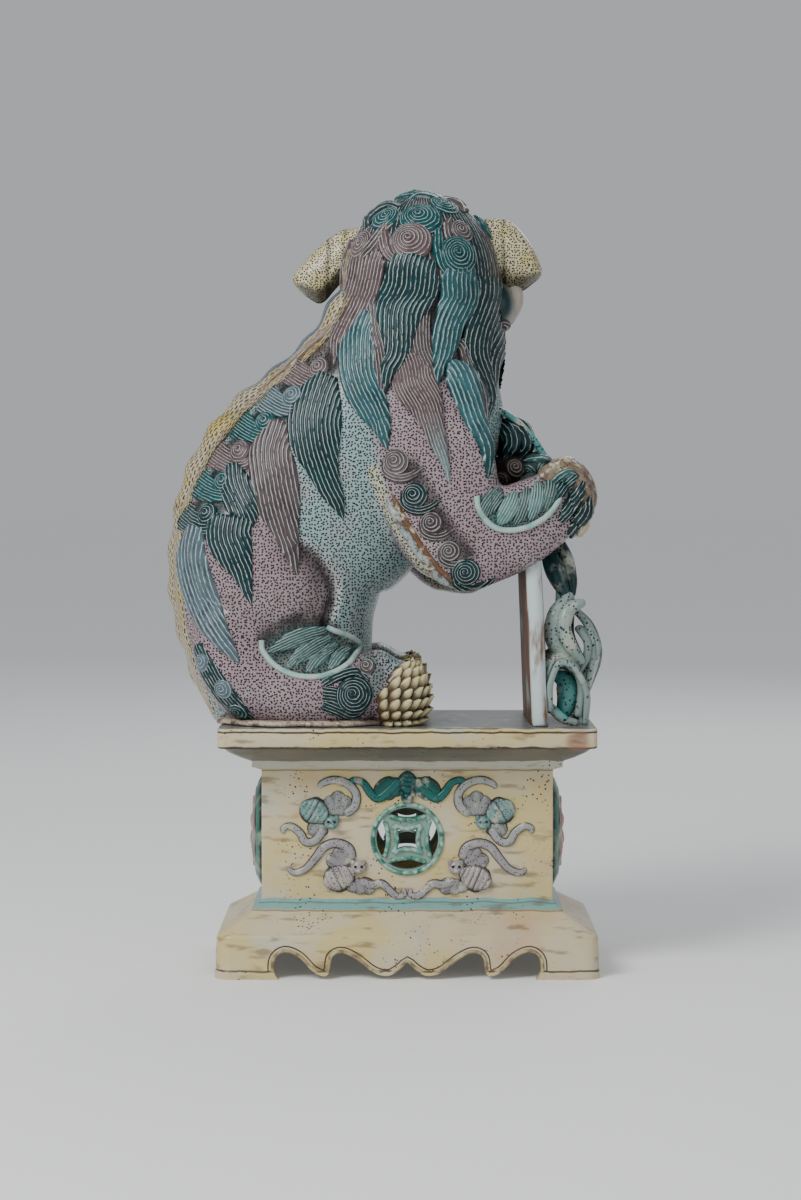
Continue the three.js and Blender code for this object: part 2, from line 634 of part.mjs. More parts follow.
// The origin goes under the middle of the whole figure.
const { x: middleX, y: middleY } = new THREE.Box3().setFromObject(figure).getCenter(new THREE.Vector3());
figure.position.set(-middleX, -middleY, 0);

export default figure;
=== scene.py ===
# A seated guardian lion with its head turned away, on an oblong plinth, in glazed biscuit porcelain.
# The tables hold millimetres measured from the ground under the middle of the plinth; meshes are in metres.
import math

import bpy
import numpy as np
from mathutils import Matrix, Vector
from mathutils.bvhtree import BVHTree


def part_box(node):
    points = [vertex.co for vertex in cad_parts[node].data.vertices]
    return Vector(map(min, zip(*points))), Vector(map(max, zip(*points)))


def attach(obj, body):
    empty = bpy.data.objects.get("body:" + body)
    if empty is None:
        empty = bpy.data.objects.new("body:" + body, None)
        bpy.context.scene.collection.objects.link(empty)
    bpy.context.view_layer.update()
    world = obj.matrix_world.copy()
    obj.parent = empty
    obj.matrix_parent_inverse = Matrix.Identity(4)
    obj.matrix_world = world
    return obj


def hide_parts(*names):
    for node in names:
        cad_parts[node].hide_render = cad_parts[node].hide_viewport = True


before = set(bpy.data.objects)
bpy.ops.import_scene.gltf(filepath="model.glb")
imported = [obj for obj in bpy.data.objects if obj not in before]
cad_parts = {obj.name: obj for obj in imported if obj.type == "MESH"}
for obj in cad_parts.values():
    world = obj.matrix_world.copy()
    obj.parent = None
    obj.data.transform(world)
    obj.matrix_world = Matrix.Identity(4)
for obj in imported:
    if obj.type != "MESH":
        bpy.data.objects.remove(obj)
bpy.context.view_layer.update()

# The room: a plain pale floor, soft studio light from the upper left and the camera at the photograph's
# place. Nothing here belongs to the figure.
MM = 0.001
plinth_low, plinth_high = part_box("plinth")
PLINTH_MIDDLE = np.array([(plinth_low.x + plinth_high.x) / 2, (plinth_low.y + plinth_high.y) / 2, 0])
CAMERA_FROM_PLINTH = (-4.0, -1565.0, 283.0)
CAMERA_DOWN_DEG = 2.41
CAMERA_LENS = 78.4
CAMERA_SENSOR = 36
LAMPS = [  # name, place and width in metres, watts
    ("key", (-0.85, -1.05, 1.3), 0.8, 27), ("fill", (1.4, -1.2, 0.6), 1.2, 3.5),
    ("back", (0.5, 1.6, 1.4), 1.0, 8),
]
LAMPS_AIM = Vector((0, 0, 0.26))
AIR_COLOUR = (0.62, 0.64, 0.67, 1)
AIR_STRENGTH = 0.7
FLOOR_HALF = 30
FLOOR_LOOK = {
    "Base Color": (0.83, 0.83, 0.82, 1), "Roughness": 0.9,
    "Emission Color": AIR_COLOUR, "Emission Strength": 0.1,
}


def placed(points):
    """Millimetres from under the middle of the plinth, as metres in the frame."""
    return np.asarray(points, float) * MM + PLINTH_MIDDLE


def shown(name, data):
    """A new object of the scene."""
    made = bpy.data.objects.new(name, data)
    bpy.context.scene.collection.objects.link(made)
    return made


camera_data = bpy.data.cameras.new("camera")
camera_data.lens = CAMERA_LENS
camera_data.sensor_width = CAMERA_SENSOR
camera = shown("camera", camera_data)
camera.location = placed(CAMERA_FROM_PLINTH)
camera.rotation_euler = (math.radians(90 - CAMERA_DOWN_DEG), 0, 0)
bpy.context.scene.camera = camera

for lamp_name, place, width, watts in LAMPS:
    lamp_data = bpy.data.lights.new(lamp_name, "AREA")
    lamp_data.shape = "DISK"
    lamp_data.size = width
    lamp_data.energy = watts
    lamp = shown(lamp_name, lamp_data)
    lamp.location = place
    lamp.rotation_euler = (LAMPS_AIM - Vector(place)).to_track_quat("-Z", "Y").to_euler()

air = bpy.data.worlds.new("air")
air.use_nodes = True
air.node_tree.nodes["Background"].inputs["Color"].default_value = AIR_COLOUR
air.node_tree.nodes["Background"].inputs["Strength"].default_value = AIR_STRENGTH
bpy.context.scene.world = air

floor_data = bpy.data.meshes.new("floor")
floor_corners = [(x * FLOOR_HALF, y * FLOOR_HALF, 0) for x, y in ((-1, -1), (1, -1), (1, 1), (-1, 1))]
floor_data.from_pydata(floor_corners, [], [(0, 1, 2, 3)])
floor = shown("floor", floor_data)
floor_paint = bpy.data.materials.new("floor_paint")
floor_paint.use_nodes = True
for setting, value in FLOOR_LOOK.items():
    floor_paint.node_tree.nodes["Principled BSDF"].inputs[setting].default_value = value
floor_data.materials.append(floor_paint)

# The plinth: slabs of clay luted into an open-bottomed box, with an apron cut in brackets, a sloped base
# moulding, a waist pierced by coins and a projecting top slab. Mottled cream glaze with celadon fillets.
# Its forms, as all of the figure's, are closed shells of rings in millimetres. Each point has a tint, and
# each corner a count of combed threads across and a length along, which the glazes read for their lines.
Y_AXIS = np.array([0.0, 1.0, 0.0])
Z_AXIS = np.array([0.0, 0.0, 1.0])
SPAN_PARTS = 12


def tone(red, green, blue):
    """A screen colour from 0 to 255 as the light that it stands for."""
    share = np.array([red, green, blue]) / 255
    return np.where(share < 0.04045, share / 12.92, ((share + 0.055) / 1.055) ** 2.4)


def unit(vectors):
    """The vectors at a length of 1."""
    return vectors / np.maximum(np.linalg.norm(vectors, axis=-1, keepdims=True), 1e-9)


def packed(values, kind=np.float32):
    """Values in one row, as a mesh takes them."""
    return np.asarray(values).astype(kind).ravel()


def flow(stations, step, dims=2):
    """A smooth run through given stations, a row every step mm of its first columns, and its lengths."""
    knots = np.asarray(stations, float)
    wide = np.vstack([2 * knots[0] - knots[1], knots, 2 * knots[-1] - knots[-2]])
    t = np.linspace(0, 1, SPAN_PARTS, endpoint=False)[:, None]
    spans = []
    for a, b, c, d in zip(wide, wide[1:], wide[2:], wide[3:]):
        spans.append(
            b + 0.5 * ((c - a) * t + (2 * a - 5 * b + 4 * c - d) * t**2 + (3 * b - a - 3 * c + d) * t**3)
        )
    fine = np.vstack([*spans, knots[-1:]])
    length = np.concatenate([[0], np.cumsum(np.linalg.norm(np.diff(fine[:, :dims], axis=0), axis=1))])
    at = np.linspace(0, length[-1], max(int(round(length[-1] / step)), 3) + 1)
    return np.column_stack([np.interp(at, length, column) for column in fine.T]), at


class Clay:
    """Closed shells gathered into one mesh."""

    def __init__(self):
        self.points = []
        self.tints = []
        self.corners = []
        self.sizes = []
        self.weave = []
        self.count = 0

    def shell(self, rings, across=0.0, along=0.0, tint=(0.5, 0.5, 0.5)):
        """A tube through rings (rows, columns, 3), closed round each ring and capped at both ends."""
        rows, columns = rings.shape[:2]
        across, along = (np.broadcast_to(count, (rows, columns + 1)) for count in (across, along))
        tints = np.broadcast_to(np.asarray(tint, float), (rows, columns, 3))
        ring = np.arange(columns)
        after = (ring + 1) % columns
        start = np.arange(rows - 1)[:, None] * columns
        quads = np.stack([start + ring, start + after, start + columns + after, start + columns + ring], -1)
        corner = np.stack([ring, ring + 1, ring + 1, ring], -1)
        row = np.arange(rows - 1)[:, None, None] + np.array([0, 0, 1, 1])
        weave = np.stack([across[row, corner], along[row, corner]], -1)
        p = rings.reshape(-1, 3)
        q = p[quads.reshape(-1, 4)]
        volume = np.einsum("ij,ij->", q[:, 0], np.cross(q[:, 1], q[:, 2]) + np.cross(q[:, 2], q[:, 3]))
        first = ring[::-1]
        last = (rows - 1) * columns + ring
        for cap in (p[first], p[last]):
            fan = np.cross(cap[1:-1], cap[2:])
            volume += np.einsum("ij,ij->", fan, np.broadcast_to(cap[0], fan.shape))
        quads = quads.reshape(-1, 4)
        weave = weave.reshape(-1, 4, 2)
        if volume < 0:
            quads = quads[:, ::-1]
            weave = weave[:, ::-1]
            first = first[::-1]
            last = last[::-1]
        self.corners += [quads.ravel() + self.count, first + self.count, last + self.count]
        self.sizes += [np.full(len(quads), 4), [columns], [columns]]
        ends = np.zeros((columns, 2))
        self.weave += [weave.reshape(-1, 2), ends + weave[0, 0], ends + weave[-1, -1]]
        self.points.append(p)
        self.tints.append(tints.reshape(-1, 3))
        self.count += len(p)

    def piece(self, name, glaze=None):
        """The gathered shells as one object."""
        mesh = bpy.data.meshes.new(name)
        mesh.vertices.add(self.count)
        mesh.vertices.foreach_set("co", packed(placed(np.concatenate(self.points))))
        sizes = packed(np.concatenate(self.sizes), np.int32)
        mesh.loops.add(int(sizes.sum()))
        mesh.loops.foreach_set("vertex_index", packed(np.concatenate(self.corners), np.int32))
        mesh.polygons.add(len(sizes))
        mesh.polygons.foreach_set("loop_start", packed(np.cumsum(sizes) - sizes, np.int32))
        mesh.update(calc_edges=True)
        mesh.uv_layers.new(name="weave").uv.foreach_set("vector", packed(np.concatenate(self.weave)))
        dye(mesh, np.concatenate(self.tints))
        mesh.shade_smooth()
        if glaze:
            mesh.materials.append(glaze)
        return shown(name, mesh)


def dye(mesh, tints):
    """Stores a tint for each point of a mesh."""
    layer = mesh.attributes.new("tint", "FLOAT_COLOR", "POINT")
    layer.data.foreach_set("color", packed(np.column_stack([tints, np.ones(len(tints))])))


def node(tree, kind, inputs=(), **settings):
    """A node with its settings, and its inputs set to a value or linked to an output."""
    made = tree.nodes.new(kind)
    for key, value in settings.items():
        setattr(made, key, value)
    for key, value in dict(inputs).items():
        if isinstance(value, bpy.types.NodeSocket):
            tree.links.new(value, made.inputs[key])
        else:
            made.inputs[key].default_value = value
    return made


class Glaze:
    """A lead glaze over biscuit: glossy, pooled and slightly uneven."""

    MIX_SOCKETS = (0, 6, 7)  # share, colour below and colour above

    def __init__(self, name, gloss=0.3, shine=0.15):
        self.material = bpy.data.materials.new(name)
        self.material.use_nodes = True
        self.tree = self.material.node_tree
        self.shader = self.tree.nodes["Principled BSDF"]
        self.shader.inputs["Roughness"].default_value = gloss
        self.shader.inputs["Coat Weight"].default_value = shine
        self.shader.inputs["Specular IOR Level"].default_value = 0.15 + shine
        self.shader.inputs["Coat IOR"].default_value = 1.35
        self.shader.inputs["Coat Roughness"].default_value = 0.2
        self.where = node(self.tree, "ShaderNodeTexCoord").outputs["Object"]
        self.tint = node(self.tree, "ShaderNodeAttribute", attribute_name="tint").outputs["Color"]
        weave = node(self.tree, "ShaderNodeUVMap", uv_map="weave").outputs["UV"]
        split = node(self.tree, "ShaderNodeSeparateXYZ", {"Vector": weave})
        self.across, self.along = split.outputs["X"], split.outputs["Y"]

    def maths(self, operation, *values):
        """One sum of a value or two."""
        return node(self.tree, "ShaderNodeMath", dict(enumerate(values)), operation=operation).outputs[0]

    def times(self, first, second):
        return self.maths("MULTIPLY", first, second)

    def between(self, share, low, high):
        """From low to high by the share."""
        return self.maths("ADD", low, self.times(share, self.maths("SUBTRACT", high, low)))

    def off_middle(self, count):
        """How far a running count is from the middle between its whole numbers."""
        return self.maths("ABSOLUTE", self.maths("SUBTRACT", self.maths("FRACT", count), 0.5))

    def step(self, value, low, high):
        """Rises smoothly from 0 at low to 1 at high, or falls where high is below low."""
        inputs = {"Value": value, "From Min": low, "From Max": high}
        made = node(self.tree, "ShaderNodeMapRange", inputs, interpolation_type="SMOOTHSTEP")
        return made.outputs["Result"]

    def noise(self, per_metre, detail=3.0, stretch=(1, 1, 1)):
        """Uneven from 0 to 1, finer with a higher count to the metre."""
        at = node(self.tree, "ShaderNodeMapping", {"Vector": self.where, "Scale": stretch}).outputs["Vector"]
        inputs = {"Vector": at, "Scale": per_metre, "Detail": detail}
        return node(self.tree, "ShaderNodeTexNoise", inputs).outputs["Fac"]

    def patches(self, per_metre, detail, low, high):
        """1 in the high places of the noise and 0 in its low ones."""
        return self.step(self.noise(per_metre, detail), low, high)

    def wander(self, per_metre, reach):
        """Noise to either side of 0."""
        return self.times(self.maths("SUBTRACT", self.noise(per_metre), 0.5), reach)

    def spots(self, per_metre, low, high, randomness=1.0):
        """1 inside small round spots and 0 between them."""
        inputs = {"Vector": self.where, "Scale": per_metre, "Randomness": randomness}
        found = node(self.tree, "ShaderNodeTexVoronoi", inputs).outputs["Distance"]
        return self.step(found, high, low)

    def dots(self, per_metre, low, high, randomness):
        """Round dots of the brush, laid flat on whichever way the surface faces."""
        parts = node(self.tree, "ShaderNodeSeparateXYZ", {"Vector": self.where}).outputs
        normal = node(self.tree, "ShaderNodeNewGeometry").outputs["Normal"]
        facing = node(self.tree, "ShaderNodeSeparateXYZ", {"Vector": normal}).outputs
        faces = {axis: self.maths("ABSOLUTE", facing[axis]) for axis in "XYZ"}
        layers = {}
        for axis, (u, v) in {"X": "YZ", "Y": "XZ", "Z": "XY"}.items():
            flat = node(self.tree, "ShaderNodeCombineXYZ", {"X": parts[u], "Y": parts[v]}).outputs[0]
            inputs = {"Vector": flat, "Scale": per_metre, "Randomness": randomness}
            found = node(self.tree, "ShaderNodeTexVoronoi", inputs, voronoi_dimensions="2D")
            layers[axis] = self.step(found.outputs["Distance"], high, low)
        sideways = self.maths("GREATER_THAN", faces["Y"], self.maths("MAXIMUM", faces["X"], faces["Z"]))
        upward = self.maths("GREATER_THAN", faces["Z"], faces["X"])
        rest = self.between(upward, layers["X"], layers["Z"])
        return self.between(sideways, rest, layers["Y"])

    def over(self, share, below, above):
        """The colour below with the one above laid over it by its share."""
        colours = [c if isinstance(c, bpy.types.NodeSocket) else (*c, 1) for c in (below, above)]
        inputs = dict(zip(self.MIX_SOCKETS, (share, *colours)))
        return node(self.tree, "ShaderNodeMix", inputs, data_type="RGBA").outputs[2]

    def finish(self, colour, height=None, depth=0.0002):
        """Joins the colour and a relief, 1 at its top, to the shader."""
        self.tree.links.new(colour, self.shader.inputs["Base Color"])
        if height is not None:
            inputs = {"Height": height, "Strength": 0.6, "Distance": depth}
            bump = node(self.tree, "ShaderNodeBump", inputs).outputs["Normal"]
            self.tree.links.new(bump, self.shader.inputs["Normal"])
        return self.material


def ride(piece, slot, *nodes):
    """The piece belongs to the figure and stands for the nodes. The slot is not used."""
    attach(piece, "root")
    if nodes:
        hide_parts(*nodes)


BASE = (112.2, 65.0)
WAIST = (85.5, 38.5)
SLAB = (109.8, 64.0)
SLAB_TOP = 145.7
COIN_Z = 78.5
COIN_RADIUS = 21.5
PROFILE = [  # half width, half depth, height, corner
    (*BASE, 0.0, 10), (*BASE, 3.6, 10), (111.6, 64.4, 4.2, 9.4), (111.0, 63.8, 5.0, 8.8),
    (111.0, 63.8, 23.6, 8.8), (110.0, 62.8, 25.4, 8.2), (91.8, 44.6, 35.6, 3.4), (91.2, 44.0, 36.2, 3),
    (91.2, 44.0, 37.6, 3), (90.4, 43.4, 38.3, 3), (87.6, 40.6, 40.4, 2), (86.2, 39.2, 42.8, 1.2),
    (*WAIST, 43.5, 1), (*WAIST, 119.2, 1), (87.0, 40.0, 119.8, 1), (91.0, 44.0, 121.2, 1.5),
    (91.0, 44.0, 124.6, 1.5), (92.6, 45.6, 125.4, 2), (97.5, 51.0, 127.6, 2.6), (103.5, 57.6, 131.0, 3.6),
    (106.4, 60.6, 133.4, 4.4), (109.2, 63.4, 133.8, 4.5), (*SLAB, 134.6, 4.5), (*SLAB, 144.8, 4.5),
    (109.2, 63.4, SLAB_TOP, 4.2),
]
HOLLOW = [(105.2, 58.0, -5, 6), (105.2, 58.0, 22, 6), (78.5, 31.5, 39, 2), (78.5, 31.5, 135.7, 2)]
APRON = [  # half of the apron's lower edge: distance from the middle, height
    (74, -0.5), (77, 4), (76.5, 12), (71, 16), (63, 13), (55, 5), (48, 2.2), (45, 5), (43.5, 13), (38, 15.5),
    (30, 12), (20, 4.5), (11.5, 2.4), (5, 5.5), (0, 10),
]


def oblong(half_x, half_y, z, corner, turns=7):
    """A level oblong with round corners."""
    points = []
    for sx, sy, start in ((1, 1, 0), (-1, 1, 90), (-1, -1, 180), (1, -1, 270)):
        for k in range(turns + 1):
            angle = math.radians(start + 90 * k / turns)
            x = sx * (half_x - corner) + corner * math.cos(angle)
            points.append([x, sy * (half_y - corner) + corner * math.sin(angle), z])
    return points


def apron_edge(scale):
    """The apron's whole lower edge as [across, up], for a side of the plinth by its scale."""
    run, _ = flow([[d * scale, z] for d, z in APRON], 1.6)
    return np.vstack([run, (run * [-1, 1])[-2::-1]])


def frozen(rough, name, *spent):
    """The rough piece as a plain mesh of its own, with its modifiers worked in; it and the spent ones go."""
    mesh = bpy.data.meshes.new_from_object(rough.evaluated_get(bpy.context.evaluated_depsgraph_get()))
    for old in (rough, *spent):
        bpy.data.objects.remove(old)
    mesh.name = name
    return shown(name, mesh)


def cut_from(piece, cutters):
    """The piece with the cutters taken away."""
    for cutter in cutters:
        cut = piece.modifiers.new("cut", "BOOLEAN")
        cut.solver = "EXACT"
        cut.object = cutter
    return frozen(piece, piece.name, *cutters)


def cutter(outline, axis, reach):
    """A bar with an [across, up] outline that runs through the plinth along Y (axis 1) or X (axis 0)."""
    clay = Clay()
    clay.shell(np.array([np.insert(outline, axis, end, axis=1) for end in (-reach, reach)]))
    return clay.piece("cutter")


def arc(radius, middle_deg, half_deg, count=14):
    """An arc of a circle round 0, in the plane of [across, up]."""
    angle = np.radians(np.linspace(middle_deg - half_deg, middle_deg + half_deg, count))
    return np.stack([radius * np.cos(angle), radius * np.sin(angle)], -1)


def bowed(a, b, pull, count=12):
    """A run from a to b that bows towards the pull point."""
    t = np.linspace(0, 1, count)[:, None]
    return (1 - t) ** 2 * np.array(a) + 2 * t * (1 - t) * np.array(pull) + t**2 * np.array(b)


def quarter_turned(points, quarter):
    """[across, up] points turned by so many quarters of a circle."""
    c, s = [(1, 0), (0, 1), (-1, 0), (0, -1)][quarter]
    return np.stack([points[:, 0] * c - points[:, 1] * s, points[:, 0] * s + points[:, 1] * c], -1)


LENS_OUTER = 18.2
LENS_HALF = 38
LENS_INNER = 10.0
SQUARE_HALF = 7.2
SQUARE_BOW = 2.8
BELOW_BASE = -6
APRON_SIDES = ((1, 1.0, 80), (0, BASE[1] / BASE[0], 130))  # axis of a cut, its outline's scale, its reach
WINDOW_REACH = 60
lens_angle = math.radians(LENS_HALF)
lens_corner = (LENS_OUTER * math.sin(lens_angle), LENS_OUTER * math.cos(lens_angle))
lens_inner = bowed((-lens_corner[0], lens_corner[1]), lens_corner, (0, LENS_INNER))
lens = np.vstack([lens_inner, arc(LENS_OUTER, 90, LENS_HALF)[1:-1]])
square_side = bowed((-SQUARE_HALF, SQUARE_HALF), (SQUARE_HALF, SQUARE_HALF), (0, SQUARE_BOW))
square = np.vstack([quarter_turned(square_side, q)[::-1][:-1] for q in range(4)])

plinth_clay = Clay()
plinth_clay.shell(np.array([oblong(*row) for row in PROFILE]))
hollow_clay = Clay()
hollow_clay.shell(np.array([oblong(*row) for row in HOLLOW]))
cutters = [hollow_clay.piece("hollow")]
for axis, scale, reach in APRON_SIDES:
    edge = apron_edge(scale)
    below = [[edge[-1][0], BELOW_BASE], [edge[0][0], BELOW_BASE]]
    cutters.append(cutter(np.vstack([edge, below]), axis, reach))
for outline in (*(quarter_turned(lens, q) for q in range(4)), square):
    cutters.append(cutter(outline + [0, COIN_Z], 1, WINDOW_REACH))
plinth = cut_from(plinth_clay.piece("plinth_box"), cutters)


BELTS = [  # from and to a height in mm, paint, its share
    (37.6, 43.4, tone(118, 158, 152), 1.0), (40.8, 41.5, tone(56, 84, 78), 0.6),
    (36.4, 37.4, tone(90, 74, 58), 0.6), (119.6, 124.8, tone(190, 190, 176), 0.85),
    # From 124.9 to 134 mm the cavetto under the slab is painted dark grey: its glaze deepened with painted
    # shade under the slab's overhang.
    (124.9, 134.0, tone(100, 98, 88), 1.0), (118.4, 119.4, tone(84, 70, 56), 0.6),
    (133.5, 135.0, tone(54, 40, 32), 0.95), (142.7, 143.9, tone(58, 44, 36), 0.95),
    (145.3, 150, tone(96, 102, 102), 1.0), (4.2, 5.3, tone(60, 46, 36), 0.9),
]
BELT_EDGE = 0.3
BURNT_CORNER = [98, -64, 138]
WORN_EDGE = 0.4
BEVEL_FROM_DEG = 40
SHARP_FROM_DEG = 38


def plinth_glaze():
    """Mottled cream glaze that changes with height: fillets, necking, a cavetto darkened with painted shade,
    and the brown lines.
    """
    glaze = Glaze("plinth_glaze", 0.34)
    colour = glaze.over(glaze.patches(26, 4, 0.4, 0.6), tone(196, 180, 126), tone(196, 184, 154))
    colour = glaze.over(glaze.times(glaze.patches(17, 2, 0.56, 0.74), 0.55), colour, tone(186, 152, 132))
    cool = glaze.step(glaze.noise(21, 3, (1, 1, 1.8)), 0.58, 0.72)
    colour = glaze.over(glaze.times(cool, 0.5), colour, tone(176, 184, 170))
    up = node(glaze.tree, "ShaderNodeSeparateXYZ", {"Vector": glaze.where}).outputs["Z"]
    height = glaze.maths("ADD", glaze.maths("DIVIDE", up, MM), glaze.wander(75, 2.6))
    for low, high, paint, share in BELTS:
        above = glaze.step(height, low - BELT_EDGE, low + BELT_EDGE)
        below = glaze.step(height, high + BELT_EDGE, high - BELT_EDGE)
        colour = glaze.over(glaze.times(glaze.times(above, below), share), colour, paint)
    coin_at = (-PLINTH_MIDDLE[0], 0, -COIN_Z * MM)
    inputs = {"Vector": glaze.where, "Location": coin_at, "Scale": (1, 0, 1)}
    from_coin = node(glaze.tree, "ShaderNodeMapping", inputs).outputs[0]
    away = node(glaze.tree, "ShaderNodeVectorMath", {0: from_coin}, operation="LENGTH").outputs["Value"]
    plate = glaze.step(away, COIN_RADIUS * MM, (COIN_RADIUS - 1) * MM)
    colour = glaze.over(glaze.times(plate, 0.85), colour, tone(112, 150, 142))
    ends = {0: glaze.where, 1: tuple(placed(BURNT_CORNER))}
    burnt = node(glaze.tree, "ShaderNodeVectorMath", ends, operation="DISTANCE").outputs["Value"]
    colour = glaze.over(glaze.times(glaze.step(burnt, 0.009, 0.004), 0.7), colour, tone(140, 98, 78))
    grime = glaze.step(glaze.noise(130, 6, (0.4, 1, 1.5)), 0.55, 0.7)
    colour = glaze.over(glaze.times(grime, 0.6), colour, tone(104, 84, 62))
    pitted = glaze.times(glaze.spots(380, 0.14, 0.26), glaze.patches(34, 2, 0.5, 0.62))
    colour = glaze.over(pitted, colour, tone(34, 27, 24))
    specks = glaze.times(glaze.spots(900, 0.1, 0.16), glaze.patches(60, 3, 0.45, 0.7))
    colour = glaze.over(glaze.times(specks, 0.7), colour, tone(92, 78, 62))
    return glaze.finish(colour, glaze.maths("SUBTRACT", 1.0, pitted), 0.0003)


def coat(piece, glaze):
    """Puts the piece under one glaze and shades it smooth."""
    piece.data.materials.clear()
    piece.data.materials.append(glaze)
    piece.data.shade_smooth()


coat(plinth, plinth_glaze())
bevel = plinth.modifiers.new("worn_edges", "BEVEL")
bevel.width = WORN_EDGE * MM
bevel.segments = 2
bevel.limit_method = "ANGLE"
bevel.angle_limit = math.radians(BEVEL_FROM_DEG)
plinth.data.set_sharp_from_angle(angle=math.radians(SHARP_FROM_DEG))
ride(plinth, "yellow_glaze", "plinth")

# The apron's rim: a raised bead along the cut edge with a fine brown thread above it, on all four sides.
# One tree sweeps a round section along every path of a wire mesh.
def bead_tree():
    """A round bead along every path of a wire mesh."""
    tree = bpy.data.node_groups.new("bead_along_paths", "GeometryNodeTree")
    for name, kind in (("Paths", "Geometry"), ("Radius", "Float"), ("Sides", "Int"), ("Glaze", "Material")):
        tree.interface.new_socket(name, in_out="INPUT", socket_type="NodeSocket" + kind)
    tree.interface.new_socket("Bead", in_out="OUTPUT", socket_type="NodeSocketGeometry")
    given = tree.nodes.new("NodeGroupInput").outputs
    curve = node(tree, "GeometryNodeMeshToCurve", {"Mesh": given["Paths"]}).outputs["Curve"]
    circle = {"Resolution": given["Sides"], "Radius": given["Radius"]}
    section = node(tree, "GeometryNodeCurvePrimitiveCircle", circle).outputs["Curve"]
    sweep = {"Curve": curve, "Profile Curve": section, "Fill Caps": True}
    swept = node(tree, "GeometryNodeCurveToMesh", sweep).outputs["Mesh"]
    smooth = node(tree, "GeometryNodeSetShadeSmooth", {"Geometry": swept}).outputs["Geometry"]
    real = node(tree, "GeometryNodeRealizeInstances", {"Geometry": smooth}).outputs["Geometry"]
    glazed = node(tree, "GeometryNodeSetMaterial", {"Geometry": real, "Material": given["Glaze"]})
    out = tree.nodes.new("NodeGroupOutput")
    tree.links.new(glazed.outputs["Geometry"], out.inputs["Bead"])
    return tree


BEADS = bead_tree()


def modelled(tree, name, start_mesh, **inputs):
    """The plain mesh that a tree makes from a start mesh and its named inputs."""
    rough = shown(name, start_mesh)
    modifier = rough.modifiers.new(name, "NODES")
    modifier.node_group = tree
    for item in tree.interface.items_tree:
        if item.in_out == "INPUT" and item.name in inputs:
            modifier[item.identifier] = inputs[item.name]
    return frozen(rough, name)


def wires(paths):
    """A mesh of edges only, one run for each path in mm; a path that ends where it starts is closed."""
    points = []
    edges = []
    for path in paths:
        first = len(points)
        points += [placed(p) for p in path]
        edges += [(i, i + 1) for i in range(first, len(points) - 1)]
    mesh = bpy.data.meshes.new("wires")
    mesh.from_pydata(points, edges, [])
    return mesh


RIM_UP = 0.9
LINE_UP = 3.4
TRIM_INSET = 1.2
LINE_SUNK = -0.1
TRIM_LOWEST = 0.9
FOOT_PLAIN = 12  # the trim stops this far from the plinth's corner
apron_paths = []
line_paths = []
for axis, scale, _ in APRON_SIDES:
    edge = apron_edge(scale)
    rise = np.stack([-np.gradient(edge[:, 1]), np.gradient(edge[:, 0])], -1)
    rise = unit(rise) * np.sign(edge[0, 0] - edge[-1, 0]) * -1
    for side in (-1, 1):
        for offset, paths, out in ((RIM_UP, apron_paths, 0.0), (LINE_UP, line_paths, LINE_SUNK)):
            line = edge + rise * offset
            line = line[(line[:, 1] > TRIM_LOWEST) & (np.abs(line[:, 0]) < BASE[1 - axis] - FOOT_PLAIN)]
            paths.append(np.insert(line, axis, (BASE[axis] - TRIM_INSET + out) * side, axis=1))


def plain_glaze(name, *tones, per_metre=120):
    """A glaze that drifts between a few tones."""
    glaze = Glaze(name)
    colour = tones[0]
    for k, other in enumerate(tones[1:]):
        colour = glaze.over(glaze.patches(per_metre * (1 + 0.6 * k), 3, 0.42, 0.64), colour, other)
    return glaze.finish(colour, glaze.noise(per_metre * 3, 2), 0.0001)


rim_glaze = plain_glaze("rim_glaze", tone(178, 168, 122), tone(160, 142, 106), tone(120, 100, 76))
line_glaze = plain_glaze("line_glaze", tone(66, 50, 40), tone(96, 76, 58))
apron_rim = modelled(BEADS, "apron_rim", wires(apron_paths), Radius=1.0 * MM, Sides=8, Glaze=rim_glaze)
apron_line = modelled(BEADS, "apron_line", wires(line_paths), Radius=0.45 * MM, Sides=6, Glaze=line_glaze)
for trim in (apron_rim, apron_line):
    ride(trim, "yellow_glaze")

# The coins: pierced discs front and back, in teal, with a round rim and doubled bands round every opening.
# The bands are beads swept by the same tree, along the openings' edges and set off from them.
BAND_OUT = 0.4
BAND_RADIUS = 1.35
coin_paths = []
for side in (-1, 1):
    outlines = [arc(COIN_RADIUS - 1.2, 0, 180, 61)]
    for quarter in range(4):
        outlines.append(quarter_turned(lens_inner * [0.93, 1] - [0, 0.9], quarter))
        outlines.append(quarter_turned(square_side * [1.1, 1] + [0, 1.0], quarter))
    for outline in outlines:
        coin_paths.append(np.insert(outline + [0, COIN_Z], 1, (WAIST[1] + BAND_OUT) * side, axis=1))
coin_tones = tone(88, 140, 124), tone(30, 98, 84), tone(150, 182, 168)
coin_glaze = plain_glaze("coin_glaze", *coin_tones, per_metre=200)
coin_wires = wires(coin_paths)
coin_bands = modelled(BEADS, "coin_bands", coin_wires, Radius=BAND_RADIUS * MM, Sides=10, Glaze=coin_glaze)
ride(coin_bands, "yellow_glaze")


